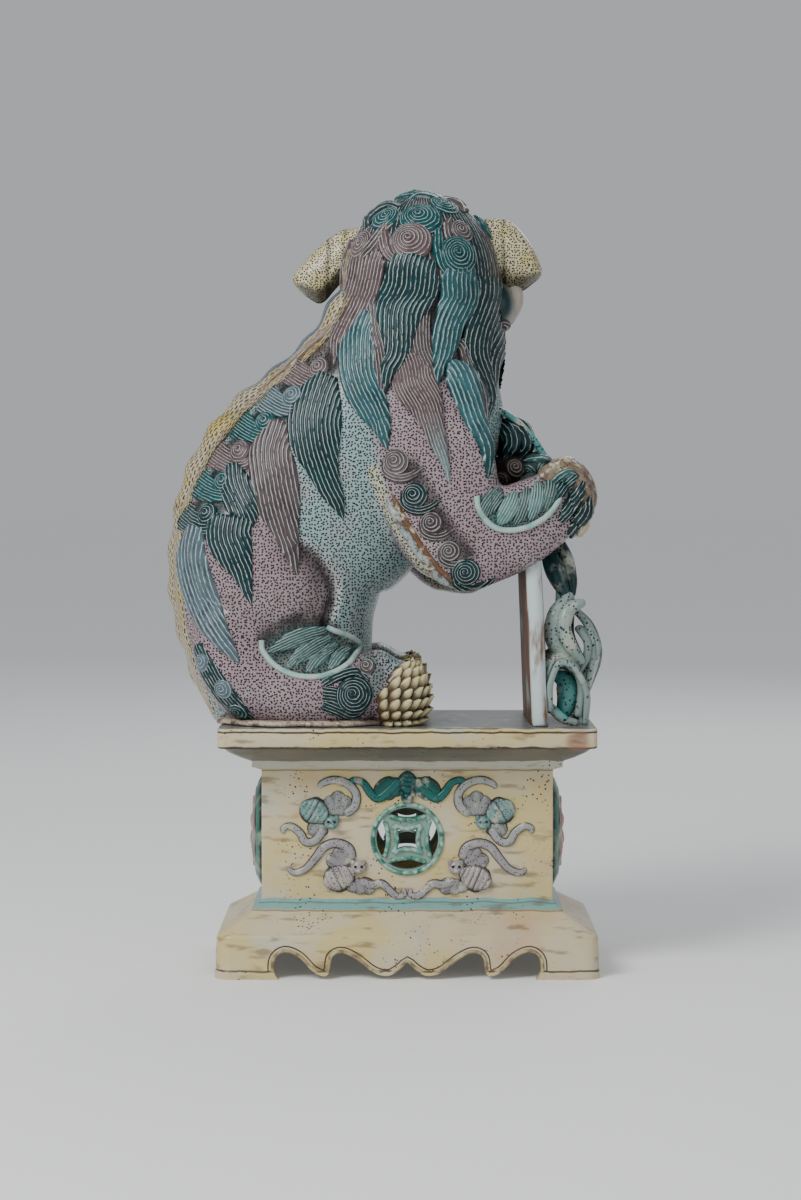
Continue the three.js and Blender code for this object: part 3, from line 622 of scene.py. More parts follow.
# The bats, for good fortune, pressed in low relief on the waist: a ribbed body, a head with eyes and ears,
# and two wings that curl at the tips. A low pair stands beside the coin front and back. The front has a high
# pair too, with one bat spread between them over the coin.
BATS = {  # [x, z, half width] for one of each pair; the panes of a wing spread from its root
    "top": {
        "body": [[0, 118.6, 3], [0, 115, 5.6], [0, 109.5, 5.8], [0, 105, 3.6]], "head": [0, 102.6, 3.8],
        "arms": [[[side * 4, 114, 3], [side * 11, 106.5, 3.2], [side * 17, 102.5, 3],
                  [side * 21.5, 105.5, 2.8], [side * 26, 111.5, 2.4], [side * 31.5, 113, 2.2],
                  [side * 35, 110, 1.2]] for side in (-1, 1)],
        "panes": [[[side * 4, 114], [side * 8.5, 103.5]] for side in (-1, 1)]
                 + [[[side * 6, 114.5], [side * 13.5, 101.5]] for side in (-1, 1)]
                 + [[[side * 8, 114.5], [side * 18.5, 104]] for side in (-1, 1)],
        "tones": ((16, 84, 82), (18, 96, 90)),
    },
    "upper": {
        "body": [[-61.9, 100, 5], [-58.4, 97.2, 8.4], [-52.4, 93.6, 8.2], [-47, 89.7, 6]],
        "head": [-44.5, 88, 4.4],
        "arms": [[[-37, 92.5, 2.8], [-30.9, 97.9, 3], [-30.2, 105.4, 2.8], [-35.7, 111.3, 2.8],
                  [-43.4, 113.2, 2.6], [-50, 111, 2.2], [-52, 107.8, 1.3]],
                 [[-48.6, 85, 3], [-54, 77.6, 2.8], [-59.7, 76.9, 2.8], [-63.1, 82.1, 2.7],
                  [-68.3, 85.9, 2.4], [-73, 84.6, 2], [-72, 81.4, 1.2]]],
        "panes": [[[-42, 92], [-46.5, 104]], [[-41, 92], [-40.5, 107]], [[-40, 92], [-34.8, 104]],
                  [[-50, 88], [-52, 79.5]], [[-51, 88], [-57.5, 81]]],
        "tones": ((112, 146, 142), (146, 150, 148)),
    },
    "lower": {
        "body": [[-48.6, 51, 5], [-44.2, 53.6, 8.4], [-37.2, 56.8, 8.2], [-31.2, 60, 6]],
        "head": [-28.6, 61.6, 4.6],
        "arms": [[[-32, 66, 3], [-34.5, 73, 3.2], [-41.7, 76, 3], [-48.6, 73.8, 3], [-53.7, 67.5, 2.8],
                  [-59.7, 60.8, 2.5], [-66.3, 58.6, 2.2], [-70.2, 61.3, 1.3]],
                 [[-28, 54, 3], [-21.2, 51.4, 3], [-15, 51.9, 2.8], [-10.3, 48, 2.6], [-6.2, 44.8, 2.3],
                  [-2, 45.6, 2], [-2.2, 49.4, 1.2]]],
        "panes": [[[-36, 62], [-47.6, 68]], [[-35, 62], [-42.5, 73]], [[-34, 63], [-37, 73]],
                  [[-32, 54], [-31.5, 46.5]], [[-30, 55], [-25.5, 45.8]], [[-28, 55], [-19.5, 46.8]]],
        "tones": ((164, 156, 154), (146, 142, 144)),
    },
}
RELIEF = 2.2
POLE = 0.02  # the small angle that an egg's cap leaves open for its last ring
SUNK = 1.5  # how deep the relief's back lies in the wall
waist_ink = tone(38, 30, 28)


def smooth_step(value, low, high):
    """0 up to low and 1 from high, and a smooth rise between them."""
    t = np.clip((value - low) / (high - low), 0, 1)
    return t * t * (3 - 2 * t)


def lobe(clay, stations, proud, tint, side, flip, ribs=0.0, veins=0):
    """A domed lobe through [x, z, half width] on the waist's face, with ribs across it or veins along it."""
    run, length = flow(stations, 0.8)
    ahead = unit(np.gradient(run[:, :2], axis=0))
    u = np.linspace(-1, 1, 15)
    rings = []
    tints = []
    for row, way, at in zip(run, ahead, length):
        end = min(at, length[-1] - at)
        half = row[2] * math.sqrt(max(1 - max(0, 1 - end / row[2]) ** 2, 0.02))
        full = min(1.0, half / 3)
        lift = proud * full * (1 - np.abs(u) ** 2.6) ** 0.6
        shade = smooth_step(np.abs(u), 0.62, 0.9)
        if ribs:
            groove = abs(math.sin(math.pi * at / ribs)) ** 0.7
            lift = lift * (0.5 + 0.5 * groove)
            shade = np.maximum(shade, 0.8 * smooth_step(groove, 0.5, 0.2))
        if veins:
            vein = np.abs(np.cos(0.5 * math.pi * veins * (u + 1)))
            lift = lift * (0.75 + 0.25 * vein)
            shade = np.maximum(shade, 0.55 * smooth_step(vein, 0.4, 0.1))
        x = (row[0] - way[1] * u * half) * flip
        z = row[1] + way[0] * u * half
        face = side * (WAIST[1] - 0.2 + lift)
        top = np.stack([x, face, z], -1)
        base = top[[-1, 0]] * [1, 0, 1] + [0, side * (WAIST[1] - SUNK), 0]
        rings.append(np.concatenate([top, base]))
        colours = tint + (waist_ink - tint) * shade[:, None]
        tints.append(np.concatenate([colours, colours[[-1, 0]]]))
    clay.shell(np.array(rings), tint=np.array(tints))


def turned(x, y, z, angle):
    """Points turned about the upright."""
    c, s = math.cos(angle), math.sin(angle)
    return np.stack([x * c - y * s, x * s + y * c, z], -1)


def egg(at, radii, turn=0.0, sides=28):
    """An ellipsoid turned about the upright."""
    fall = np.linspace(POLE, math.pi - POLE, sides // 2)[:, None]
    round_ = np.linspace(0, 2 * math.pi, sides, endpoint=False)
    x = radii[0] * np.sin(fall) * np.cos(round_)
    y = radii[1] * np.sin(fall) * np.sin(round_)
    z = radii[2] * np.cos(fall) + 0 * round_
    return turned(x, y, z, turn) + np.asarray(at, float)


def bat(clay, form, side, flip):
    """One bat on a face of the waist: panes, arms, body, and a head with a snout, eyes and ears."""
    trunk_tone, wing_tone = (tone(*t) for t in form["tones"])
    for start, end in form["panes"]:
        middle = [(start[0] + end[0]) / 2, (start[1] + end[1]) / 2]
        pane = [[*start, 3], [*middle, 5.2], [*end, 4.4]]
        lobe(clay, pane, RELIEF * 0.8, wing_tone * 0.8, side, flip, veins=2)
    for arm in form["arms"]:
        lobe(clay, arm, RELIEF * 1.15, wing_tone, side, flip)
    lobe(clay, form["body"], RELIEF * 1.7, trunk_tone, side, flip, ribs=2.9)
    x, z, radius = form["head"]
    x *= flip
    face = side * (WAIST[1] + 1.0)
    clay.shell(egg([x, face, z], [radius, 2.8, radius * 0.92], sides=18), tint=trunk_tone * 0.9)
    clay.shell(egg([x, face + side * 2.4, z - 1.6], [1.9, 1.2, 1.3], sides=12), tint=trunk_tone * 1.15)
    for way in (-1, 1):
        eye = egg([x + way * 1.8, face + side * 2.3, z + 0.8], [0.95, 0.8, 0.95], sides=10)
        ear = egg([x + way * 3.2, face + side * 0.4, z + 2.8], [1.6, 1.6, 1.9], sides=12)
        clay.shell(eye, tint=waist_ink * 0.4)
        clay.shell(ear, tint=trunk_tone * 0.6)


def bat_glaze():
    """The relief's glaze, speckled black as the wings are."""
    glaze = Glaze("bat_glaze", 0.3)
    colour = glaze.over(glaze.patches(150, 3, 0.5, 0.75), glaze.tint, tone(176, 176, 158))
    specks = glaze.times(glaze.spots(680, 0.18, 0.34, 0.9), glaze.patches(200, 2, 0.34, 0.5))
    colour = glaze.over(specks, colour, waist_ink)
    return glaze.finish(colour, glaze.noise(500), 0.00012)


bats = Clay()
bat(bats, BATS["top"], -1, 1)
for flip in (-1, 1):
    bat(bats, BATS["upper"], -1, flip)
    for side in (-1, 1):
        bat(bats, BATS["lower"], side, flip)
ride(bats.piece("bats", bat_glaze()), "yellow_glaze")

# The medallions on the plinth's two ends: oval domes with a peony of overlapping petals in pink on green.
MEDALLION = (27.0 * 0.97, 34.0 * 0.97)
MEDALLION_PROUD = 9.0
MEDALLION_SUNK = -2.0
FLOWER = 0.8  # the flower's share of the medallion, and the shares of its inner petals and its heart
INNER_PETALS = 0.42
HEART = 0.16
PETAL_LAYERS = 3.1
ground_tone, petal_tone, heart_tone = tone(44, 104, 88), tone(186, 150, 142), tone(206, 186, 120)
medallions = Clay()
turn = np.linspace(0, 2 * math.pi, 97)[:-1]
for side in (-1, 1):
    rings = []
    tints = []
    for k, share in enumerate(np.concatenate([[1.0], np.linspace(1, 0.02, 44)])):
        scallop = 1 + (0.035 * np.abs(np.cos(6 * turn)) if share > FLOWER else 0)
        half_count, shift = (3.5, 0) if share > INNER_PETALS else (2.5, 0.6)
        petals = np.abs(np.cos(half_count * turn + shift))
        layer = (share * PETAL_LAYERS) % 1.0 if share < FLOWER else 0.0
        rise = MEDALLION_PROUD * math.sqrt(max(1 - share**2, 0)) * 0.86 + 1.2 * petals * layer
        rise = np.full(len(turn), MEDALLION_SUNK) if k == 0 else rise
        rings.append(np.stack([
            side * (WAIST[0] + np.minimum(rise, MEDALLION_PROUD - 0.1)),
            MEDALLION[0] * share * scallop * np.cos(turn),
            COIN_Z + MEDALLION[1] * share * scallop * np.sin(turn),
        ], -1))
        paint = petal_tone * (0.55 + 0.45 * layer) if share < FLOWER else ground_tone
        paint = heart_tone if share < HEART else paint
        if FLOWER - 0.04 < share < FLOWER + 0.04 or share > 0.96:
            paint = waist_ink
        tints.append(np.broadcast_to(paint, (len(turn), 3)) * (0.6 + 0.4 * petals)[:, None])
    medallions.shell(np.array(rings), tint=np.array(tints))


def medallion_glaze():
    """The flower's own tones, clouded with grey green."""
    glaze = Glaze("medallion_glaze", 0.28)
    colour = glaze.over(glaze.patches(110, 4, 0.45, 0.75), glaze.tint, tone(120, 140, 118))
    return glaze.finish(colour, glaze.noise(420), 0.00012)


ride(medallions.piece("medallions", medallion_glaze()), "yellow_glaze")

# The body: torso, thighs, shanks, forelegs and head, pressed in one mould and luted at the seams.
# The forms are joined, softened where they meet, and carry the fine black stipple over celadon and lilac.
DEEP_TEAL = tone(5, 54, 58)
LILAC = tone(146, 128, 134)
GREY_LILAC = tone(94, 82, 84)
CELADON = tone(136, 162, 162)
BUFF = tone(150, 128, 104)
INK = tone(22, 17, 18)
PALE = tone(196, 204, 198)
TORSO = [
    [-66, 0, 146, 46, 46], [-74, 0, 180, 54, 50], [-78, 0, 215, 60, 53], [-72, 0, 252, 66, 54],
    [-44, 0, 288, 70, 52], [-16, 0, 325, 62, 50], [4, 0, 360, 53, 48], [10, 0, 392, 44, 44],
]
THIGH = [[-98, -30, 262, 32, 22], [-88, -34, 240, 35, 25], [-76, -36, 224, 33, 25]]
SHANK = [[-106, -32, 205, 20, 22], [-98, -36, 178, 24, 24], [-70, -38, 165, 22, 23], [-32, -38, 166, 22, 22]]
UPPER_ARMS = [
    [[10, -36, 336, 34, 16], [15, -40, 300, 36, 18], [24, -42, 264, 33, 18], [36, -43, 247, 26, 16]],
    [[8, 36, 336, 34, 16], [11, 40, 300, 36, 18], [19, 42, 262, 34, 18], [28, 43, 243, 27, 16]],
]
FOREARMS = [
    [[38, -43, 250, 25, 16], [62, -42, 261, 25, 16], [84, -38, 273, 21, 17]],
    [[30, 43, 244, 27, 16], [58, 42, 257, 25, 16], [84, 38, 272, 21, 17]],
]
FORE_PAW = [89, -32, 279, 18, 19, 20]
HIND_PAW = [-6, -38, 162, 18, 20, 22]
HEAD = np.array([9.0, 2.0, 408.0])
FACING = math.radians(-15)
SEAT = 146.0
CHEST = ([20, 0, 325], [38, 42, 50])
SKULL = [45, 48, 50]
HOCK = ([-18, 38, 173], [15, 17, 17])
ARM_SQUARE = 1.4
ROUND_END = ((0.94, 0.2), (0.72, 0.55), (0.35, 0.75))  # share of a limb's width, and how far past its end


def limb(stations, square=1.0, sides=28):
    """A rounded limb through [x, y, z, half height in the side view, half width across]."""
    run, _ = flow(stations, 3.0, 3)
    centre = run[:, :3]
    ahead = unit(np.gradient(centre, axis=0))
    over = unit(Y_AXIS - ahead * ahead[:, 1:2])
    up = np.cross(ahead, over)
    angle = np.linspace(0, 2 * math.pi, sides, endpoint=False)
    bend = [np.sign(v) * np.abs(v) ** (1 / square) for v in (np.cos(angle), np.sin(angle))]
    shape = up[:, None] * (run[:, 3:4] * bend[0])[..., None]
    shape = shape + over[:, None] * (run[:, 4:5] * bend[1])[..., None]
    rings = [centre[:, None] + shape]
    for end, way in ((0, -1), (-1, 1)):
        caps = []
        for share, beyond in ROUND_END:
            caps.append(centre[end] + ahead[end] * way * beyond * run[end, 3] + shape[end] * share)
        rings.insert(0 if end == 0 else len(rings), np.array(caps[::-1] if end == 0 else caps))
    return np.concatenate(rings)


def mirrored(stations, side):
    """Stations of the near side (-1), or the same on the far side (1)."""
    return [[x, -side * y, *rest] for x, y, *rest in stations]


def in_head(across, forward, up):
    """A place in the head's own frame: to the lion's left, out of the face and up."""
    return HEAD + turned(across, forward, up, FACING)


body_clay = Clay()
body_clay.shell(limb(TORSO))
body_clay.shell(egg(*CHEST))
body_clay.shell(egg(in_head(0, 0, -1), SKULL, FACING))
for side in (-1, 1):
    body_clay.shell(limb(mirrored(THIGH, side)))
    body_clay.shell(limb(mirrored(SHANK, side)))
    for x, y, z, *radii in (FORE_PAW, HIND_PAW):
        body_clay.shell(egg([x, -side * y, z], radii))
    (x, y, z), radii = HOCK
    body_clay.shell(egg([x, side * y, z], radii))
for upper, fore in zip(UPPER_ARMS, FOREARMS):
    body_clay.shell(limb(upper, square=ARM_SQUARE))
    body_clay.shell(limb(fore, square=ARM_SQUARE))


def remeshed(rough, name, voxel, softening):
    """One closed skin over all the shells of a rough piece, softened where they meet."""
    remesh = rough.modifiers.new("remesh", "REMESH")
    remesh.mode = "VOXEL"
    remesh.voxel_size = voxel * MM
    smooth = rough.modifiers.new("smooth", "SMOOTH")
    smooth.factor = 0.5
    smooth.iterations = softening
    return frozen(rough, name)


def read_rows(source, what):
    """The three numbers of each row of a mesh's data."""
    found = np.zeros(len(source) * 3, np.float32)
    source.foreach_get(what, found)
    return found.reshape(-1, 3).astype(float)


def skin_of(piece):
    """The piece's points in mm from under the middle of the plinth, and the ways they face."""
    mesh = piece.data
    return (read_rows(mesh.vertices, "co") - PLINTH_MIDDLE) / MM, read_rows(mesh.vertex_normals, "vector")


def reshape_skin(piece, points):
    """Moves the piece's points to places in mm."""
    piece.data.vertices.foreach_set("co", packed(placed(points)))
    piece.data.update()


def skin_tree(points, *pieces):
    """A search tree of the pieces' skins over all their points in mm."""
    faces = []
    start = 0
    for piece in pieces:
        faces += [tuple(v + start for v in face.vertices) for face in piece.data.polygons]
        start += len(piece.data.vertices)
    return BVHTree.FromPolygons([Vector(p) for p in points], faces)


body = remeshed(body_clay.piece("rough_body"), "body", 2.2, 8)
body_points, body_normals = skin_of(body)


def near_run(points, stations):
    """How far each point, of two or three numbers, is from the line through the stations, in mm."""
    dims = points.shape[1]
    line = flow(stations, 2.0, dims)[0][:, :dims]
    far = np.full(len(points), 1e9)
    for row in line:
        far = np.minimum(far, ((points - row) ** 2).sum(1))
    return np.sqrt(far)


# The knee stands over a deep crease, and the seat is cut flat where it was luted to the slab.
KNEE_MIDDLE = np.array([-76, 222])
KNEE_ARC = [[-62.6, 251], [-52, 243.6], [-44.6, 233], [-42.3, 222.7], [-44.3, 212.8], [-47, 204]]
CREASE_DEPTH = 5.0
CREASE_WIDTH = 2.4
side_view_points = body_points[:, [0, 2]]
knee_gap = near_run(side_view_points, KNEE_ARC)
outward = np.clip(np.abs(body_normals[:, 1]) * 1.6 - 0.3, 0, 1)
body_points -= body_normals * (CREASE_DEPTH * np.exp(-((knee_gap / CREASE_WIDTH) ** 2)) * outward)[:, None]
body_points[:, 2] = np.maximum(body_points[:, 2], SEAT + 0.05)
reshape_skin(body, body_points)

lilac_share = np.zeros(len(body_points))
for side in (-1, 1):
    for stations, reach in ((THIGH, 33), (SHANK, 26)):
        gap = near_run(body_points, mirrored(stations, side))
        lilac_share = np.maximum(lilac_share, smooth_step(gap, reach + 5, reach - 1))
for stations in UPPER_ARMS + FOREARMS:
    gap = near_run(body_points, stations)
    lilac_share = np.maximum(lilac_share, smooth_step(gap, 38, 30))
body_tint = CELADON + (LILAC - CELADON) * lilac_share[:, None]


def painted(tint, share, above):
    """The tint of each point with another laid over it by its share."""
    return tint + (above - tint) * share[:, None]


def inside(points, outline):
    """1 for points inside a closed outline and 0 for the others."""
    outline = np.asarray(outline, float)[:, :2]
    crossings = np.zeros(len(points))
    for (ax, ay), (bx, by) in zip(outline, np.roll(outline, -1, axis=0)):
        spans = (ay > points[:, 1]) != (by > points[:, 1])
        rise = by - ay if by != ay else 1e-9
        crossings += spans & (points[:, 0] < ax + (points[:, 1] - ay) * (bx - ax) / rise)
    return crossings % 2


side_view_points = body_points[:, [0, 2]]
on_flank = smooth_step(np.abs(body_points[:, 1]), 8, 16)
body_tint = painted(body_tint, smooth_step(body_points[:, 2], 335, 355), GREY_LILAC * 0.35)


def streak(tint, run, outer, inner, paint, share=1.0):
    """A streak on both flanks along an [x, z] run, full at inner mm from it and gone at outer mm."""
    return painted(tint, share * smooth_step(near_run(side_view_points, run), outer, inner) * on_flank, paint)


BACK_EDGE = [[-54, 352], [-83, 321], [-98, 304], [-108, 286], [-118, 266]]
ELBOW_EDGE = [[-20, 294], [-8, 266], [12, 234], [24, 222]]
ELBOW_STAIN = [[-4, 268], [14, 240], [24, 227]]
ARM_SHADE = [[2, 296], [14, 276], [24, 258], [34, 246]]
body_tint = streak(body_tint, BACK_EDGE, 13, 8, DEEP_TEAL * 0.6)
body_tint = streak(body_tint, ELBOW_EDGE, 4.5, 2.5, tone(172, 172, 150))
body_tint = streak(body_tint, ELBOW_STAIN, 3, 0.5, tone(110, 78, 46), 0.7)
body_tint = streak(body_tint, ARM_SHADE, 8, 2, INK, 0.9)
# Painted shade: inside the knee's arc the tint darkens with ink towards the crease, as under the bulging
# knee.
to_knee = np.linalg.norm(side_view_points - KNEE_MIDDLE, axis=1)
knee_edge = np.linalg.norm(np.array(KNEE_ARC) - KNEE_MIDDLE, axis=1).mean()
within_knee = smooth_step(to_knee - knee_edge, 1.5, -1.5) * on_flank
body_tint = painted(body_tint, 0.85 * within_knee * np.exp(-((knee_gap / 11) ** 2)), INK)
knee_line = 0.6 * (1 - within_knee) * on_flank * np.exp(-(((knee_gap - 3) / 1.2) ** 2))
body_tint = painted(body_tint, knee_line, PALE)
SHIN_PANEL = [
    [-84, 196], [-77, 182], [-66, 176.5], [-55, 175], [-44, 177], [-33, 183], [-28.5, 191], [-38, 197],
    [-46, 205], [-62, 204], [-76, 203],
]
FOREARM_PANEL = [
    [40, 279], [41, 271], [48, 263], [57, 260], [69, 261.5], [80, 268], [87.5, 277.5], [88, 285.5],
    [84, 292], [70, 284], [56, 280],
]
for outline, paint in ((SHIN_PANEL, tone(62, 84, 82)), (FOREARM_PANEL, tone(58, 92, 88))):
    body_tint = painted(body_tint, inside(side_view_points, outline) * on_flank, paint)
# Painted shadow: ink along the foot of the thigh, where it overhangs the shin panel.
KNEE_OVERHANG_SHADOW = [[-84, 198], [-70, 206], [-56, 208], [-44, 202]]
CUFF = [[-22, 184], [-17, 176], [-19, 168]]
body_tint = streak(body_tint, KNEE_OVERHANG_SHADOW, 7, 1, INK, 0.9)
body_tint = streak(body_tint, CUFF, 6, 3, tone(84, 104, 100), 0.85)
dye(body.data, body_tint)


def skin_glaze(name, stippled):
    """The skin's tints under clouds and stains, with the stipple where it is wanted."""
    glaze = Glaze(name)
    dots = glaze.dots(560, 0.25, 0.36, 0.75) if stippled else 0.0
    colour = glaze.over(glaze.times(glaze.patches(45, 3, 0.45, 0.75), 0.45), glaze.tint, tone(160, 150, 148))
    colour = glaze.over(glaze.times(glaze.patches(120, 5, 0.56, 0.8), 0.45), colour, BUFF * 0.6)
    colour = glaze.over(dots, colour, INK)
    return glaze.finish(colour, glaze.maths("SUBTRACT", 1.0, dots), 0.00015)


coat(body, skin_glaze("skin_glaze", True))
ride(body, "lion_glaze", "lion_figure")
body_tree = skin_tree(body_points, body)

# The spine: a lumpy strap of clay down the middle of the back, laid over the seam of the mould from the neck
# to the seat. Its glaze is cream-yellow with rows of short black dashes, and dark blue strands by the neck.
SPINE = [
    [-31, 414], [-46, 393], [-57, 375], [-76, 357], [-99.5, 339], [-117, 319.5], [-128.5, 300], [-136, 280],
    [-140, 258], [-142, 235], [-139.5, 212], [-134, 190], [-126, 168], [-114, 151],
]
SPINE_LUMPS = 12
SPINE_HALF = 23.0
SPINE_REACH = 25.0
SPINE_SKIN = (-14, 1)  # how far the skin may lie below and above the strap's line
SPINE_ARCH = 12  # half width of the raised middle
FURROW_PITCH = 3.1
STRAP_BACK = [7.0, -7.0]
STRAP_DEPTH = -16.0
CREAM = tone(205, 192, 150)
spine_run, spine_length = flow(SPINE, 1.4)
spine_way = unit(np.gradient(spine_run, axis=0))
spine_out = np.stack([spine_way[:, 1], -spine_way[:, 0]], -1)
spine_out *= np.where(spine_out[:, :1] > 0, -1, 1)
spine_u = np.linspace(-1, 1, 49)
spine_y = spine_u * SPINE_HALF
spine_skin = np.zeros((len(spine_run), len(spine_u)))
for k, (centre, out) in enumerate(zip(spine_run, spine_out)):
    back = Vector((-out[0], 0, -out[1]))
    for column, y in enumerate(spine_y):
        start = Vector((centre[0], y, centre[1])) - back * SPINE_REACH
        gap = body_tree.ray_cast(start, back, 2 * SPINE_REACH)[3]
        spine_skin[k, column] = np.clip(SPINE_REACH - gap, *SPINE_SKIN) if gap is not None else SPINE_SKIN[0]
rows_mean = np.ones(7) / 7
spine_skin = np.array([np.convolve(np.pad(c, 3, "edge"), rows_mean, "valid") for c in spine_skin.T]).T
spine_rings = []
spine_across = []
for centre, out, at, skin in zip(spine_run, spine_out, spine_length, spine_skin):
    lump = math.cos(2 * math.pi * SPINE_LUMPS * at / spine_length[-1])
    furrow = abs(math.cos(math.pi * at / FURROW_PITCH)) ** 0.5
    fall = 1 - np.minimum(np.abs(spine_y) / SPINE_ARCH, 1) ** 2.2
    arch = -7.5 + (9.0 + 1.0 * lump) * fall**0.75
    skirt = skin + 1.2 + 0.3 * lump - 3.5 * smooth_step(np.abs(spine_u), 0.86, 1.0)
    lift = np.maximum(arch, skirt) - 0.35 * (1 - furrow) * (1 - spine_u**6)
    across = np.concatenate([[0], np.cumsum(np.hypot(np.diff(spine_y), np.diff(lift)))])
    across -= across[len(across) // 2]
    lift = np.append(lift, [STRAP_DEPTH, STRAP_DEPTH])
    y = np.append(spine_y, STRAP_BACK)
    spine_rings.append(np.stack([centre[0] + out[0] * lift, y, centre[1] + out[1] * lift], -1))
    spine_across.append(np.concatenate([across, STRAP_BACK, across[:1]]))
spine_rings = np.array(spine_rings)
spine_rings[..., 2] = np.maximum(spine_rings[..., 2], SEAT + 0.1)
spine_clay = Clay()
spine_clay.shell(spine_rings, np.array(spine_across), spine_length[:, None], CREAM)
DASH_ROW = 2.1  # from one row of dashes to the next, and from one dash of a row to the next
DASH_PITCH = 4.6


def spine_glaze():
    """Cream over buff, with dashes in rows along the strap and dark strands along its top by the neck."""
    glaze = Glaze("spine_glaze", 0.3)
    colour = glaze.over(glaze.patches(60, 3, 0.42, 0.66), tone(168, 158, 132), tone(170, 154, 92))
    colour = glaze.over(glaze.times(glaze.patches(115, 3, 0.52, 0.7), 0.55), colour, tone(112, 92, 70))
    rows = glaze.maths("ADD", glaze.maths("DIVIDE", glaze.across, DASH_ROW), glaze.wander(230, 1.3))
    shift = glaze.times(glaze.maths("FLOOR", rows), 0.37)
    dashes = glaze.maths("ADD", glaze.maths("DIVIDE", glaze.along, DASH_PITCH), shift)
    on_line = glaze.step(glaze.off_middle(rows), 0.3, 0.16)
    on_dash = glaze.step(glaze.off_middle(dashes), 0.36, 0.28)
    colour = glaze.over(glaze.times(glaze.times(on_line, on_dash), 0.95), colour, tone(42, 34, 30))
    crest = glaze.step(glaze.maths("ABSOLUTE", glaze.across), 8.5, 6.5)
    by_neck = glaze.step(glaze.along, 120, 70)
    strand = glaze.over(on_line, tone(40, 56, 74), tone(112, 124, 132))
    colour = glaze.over(glaze.times(crest, by_neck), colour, strand)
    return glaze.finish(colour, glaze.noise(300), 0.0002)


ride(spine_clay.piece("spine_ridge", spine_glaze()), "lion_glaze")

# Locks of the mane and the flanks: strips of clay laid on the body and combed with a toothed tool, so that
# every lock has fine parallel ridges. The ridges show pale through the glaze and the grooves stay dark.
TEAL = tone(6, 84, 88)
HAIR_LILAC = tone(112, 92, 94)
BLUE_GREY = tone(96, 120, 130)
SIDES = ((-1, "near"), (1, "far"))
VIEWS = {  # right, up and the line of sight
    "near": ((1, 0, 0), (0, 0, 1), (0, 1, 0)),
    "far": ((1, 0, 0), (0, 0, 1), (0, -1, 0)),
    "back": ((0, 1, 0), (0, 0, 1), (1, 0, 0)),
}
THREAD = 2.4  # from one combed ridge to the next, and in the finer locks
FINE_THREAD = 1.75
COMB_DEPTH = 0.4
FIRST_DEPTH = -40.0  # along the line of sight, where a search for the skin starts
FAR_OFF = 300


def settled(point, look, depth, tree=None):
    """Where a line of sight through the point meets the body, or else the body's nearest place."""
    tree = tree or body_tree
    start = point - look * (np.dot(point, look) + FAR_OFF)
    hit, normal, _, _ = tree.ray_cast(Vector(start), Vector(look))
    if hit is None or np.dot(normal, look) > -0.12:
        here = point + look * (depth - np.dot(point, look))
        hit, normal, _, _ = tree.find_nearest(Vector(here))
    return np.array(hit), np.array(normal)


def lock(clay, stations, view, tint, thick=3.0, lift=0.0, thread=THREAD, tip_tint=None, tree=None):
    """A combed lock through [right, up, width] in a side view, draped on the body and ending in a point."""
    right, up, look = (np.array(axis, float) for axis in VIEWS[view])
    run, length = flow(stations, 1.9)
    ahead = unit(np.gradient(run[:, :2], axis=0))
    widest = run[:, 2].max()
    count = max(int(widest / thread) * 4, 8) + 1
    u = np.linspace(-1, 1, count)
    depth = None
    rings = []
    across = []
    for i, (row, way) in enumerate(zip(run, ahead)):
        half = max(row[2] / 2, 0.35)
        offsets = u * half
        flat = row[0] * right + row[1] * up
        side_way = -way[1] * right + way[0] * up
        if depth is None:
            depth = np.dot(settled(flat, look, FIRST_DEPTH, tree)[0], look)
        hits = [settled(flat + side_way * offset, look, depth, tree) for offset in offsets]
        places = np.array([hit for hit, _ in hits])
        normals = unit(np.array([normal for _, normal in hits]))
        depth = np.dot(places[count // 2], look)
        left = length[-1] - length[i]
        full = min(1.0, half / 3.5) * min(1.0, 0.35 + left / 10)
        comb = (0.5 + 0.5 * np.cos(2 * math.pi * offsets / thread)) ** 1.4
        crown = thick * full * (1 - np.abs(u) ** 2.4) ** 0.55
        height = (lift * full + crown * 0.75 + thick * 0.25 * full) + COMB_DEPTH * full * (comb - 0.5)
        height[[0, -1]] = -1.2
        top = places + normals * height[:, None]
        base = places[[-2, 1]] - normals[[-2, 1]] * 2.4
        rings.append(np.concatenate([top, base]))
        across.append(np.concatenate([offsets, offsets[[-2, 1]], offsets[:1]]) / thread)
    rings = np.array(rings)
    along = np.broadcast_to(length[:, None], (len(rings), rings.shape[1] + 1))
    blend = smooth_step(length / length[-1], 0.45, 0.95)[:, None, None]
    tints = np.asarray(tint) + (np.asarray(tint if tip_tint is None else tip_tint) - tint) * blend
    clay.shell(rings, np.array(across), along, np.broadcast_to(tints, rings.shape))


def hair_glaze():
    """Pale on the combed ridges, dark in the grooves, and the lock's own tint between."""
    glaze = Glaze("hair_glaze", 0.34, 0.1)
    phase = glaze.maths("ADD", glaze.across, glaze.maths("ADD", glaze.wander(260, 0.5), 0.5))
    off_ridge = glaze.off_middle(phase)
    ridge = glaze.step(off_ridge, 0.11, 0.03)
    dark = glaze.over(0.74, glaze.tint, INK * 0.5)
    pool = glaze.over(glaze.step(off_ridge, 0.14, 0.36), glaze.tint, dark)
    pool = glaze.over(glaze.patches(85, 3, 0.66, 0.4), pool, glaze.over(0.4, glaze.tint, dark))
    pale = glaze.over(0.74, glaze.tint, PALE)
    colour = glaze.over(glaze.times(ridge, glaze.patches(300, 2, 0.3, 0.5)), pool, pale)
    return glaze.finish(colour, glaze.step(off_ridge, 0.3, 0.03), 0.0003)


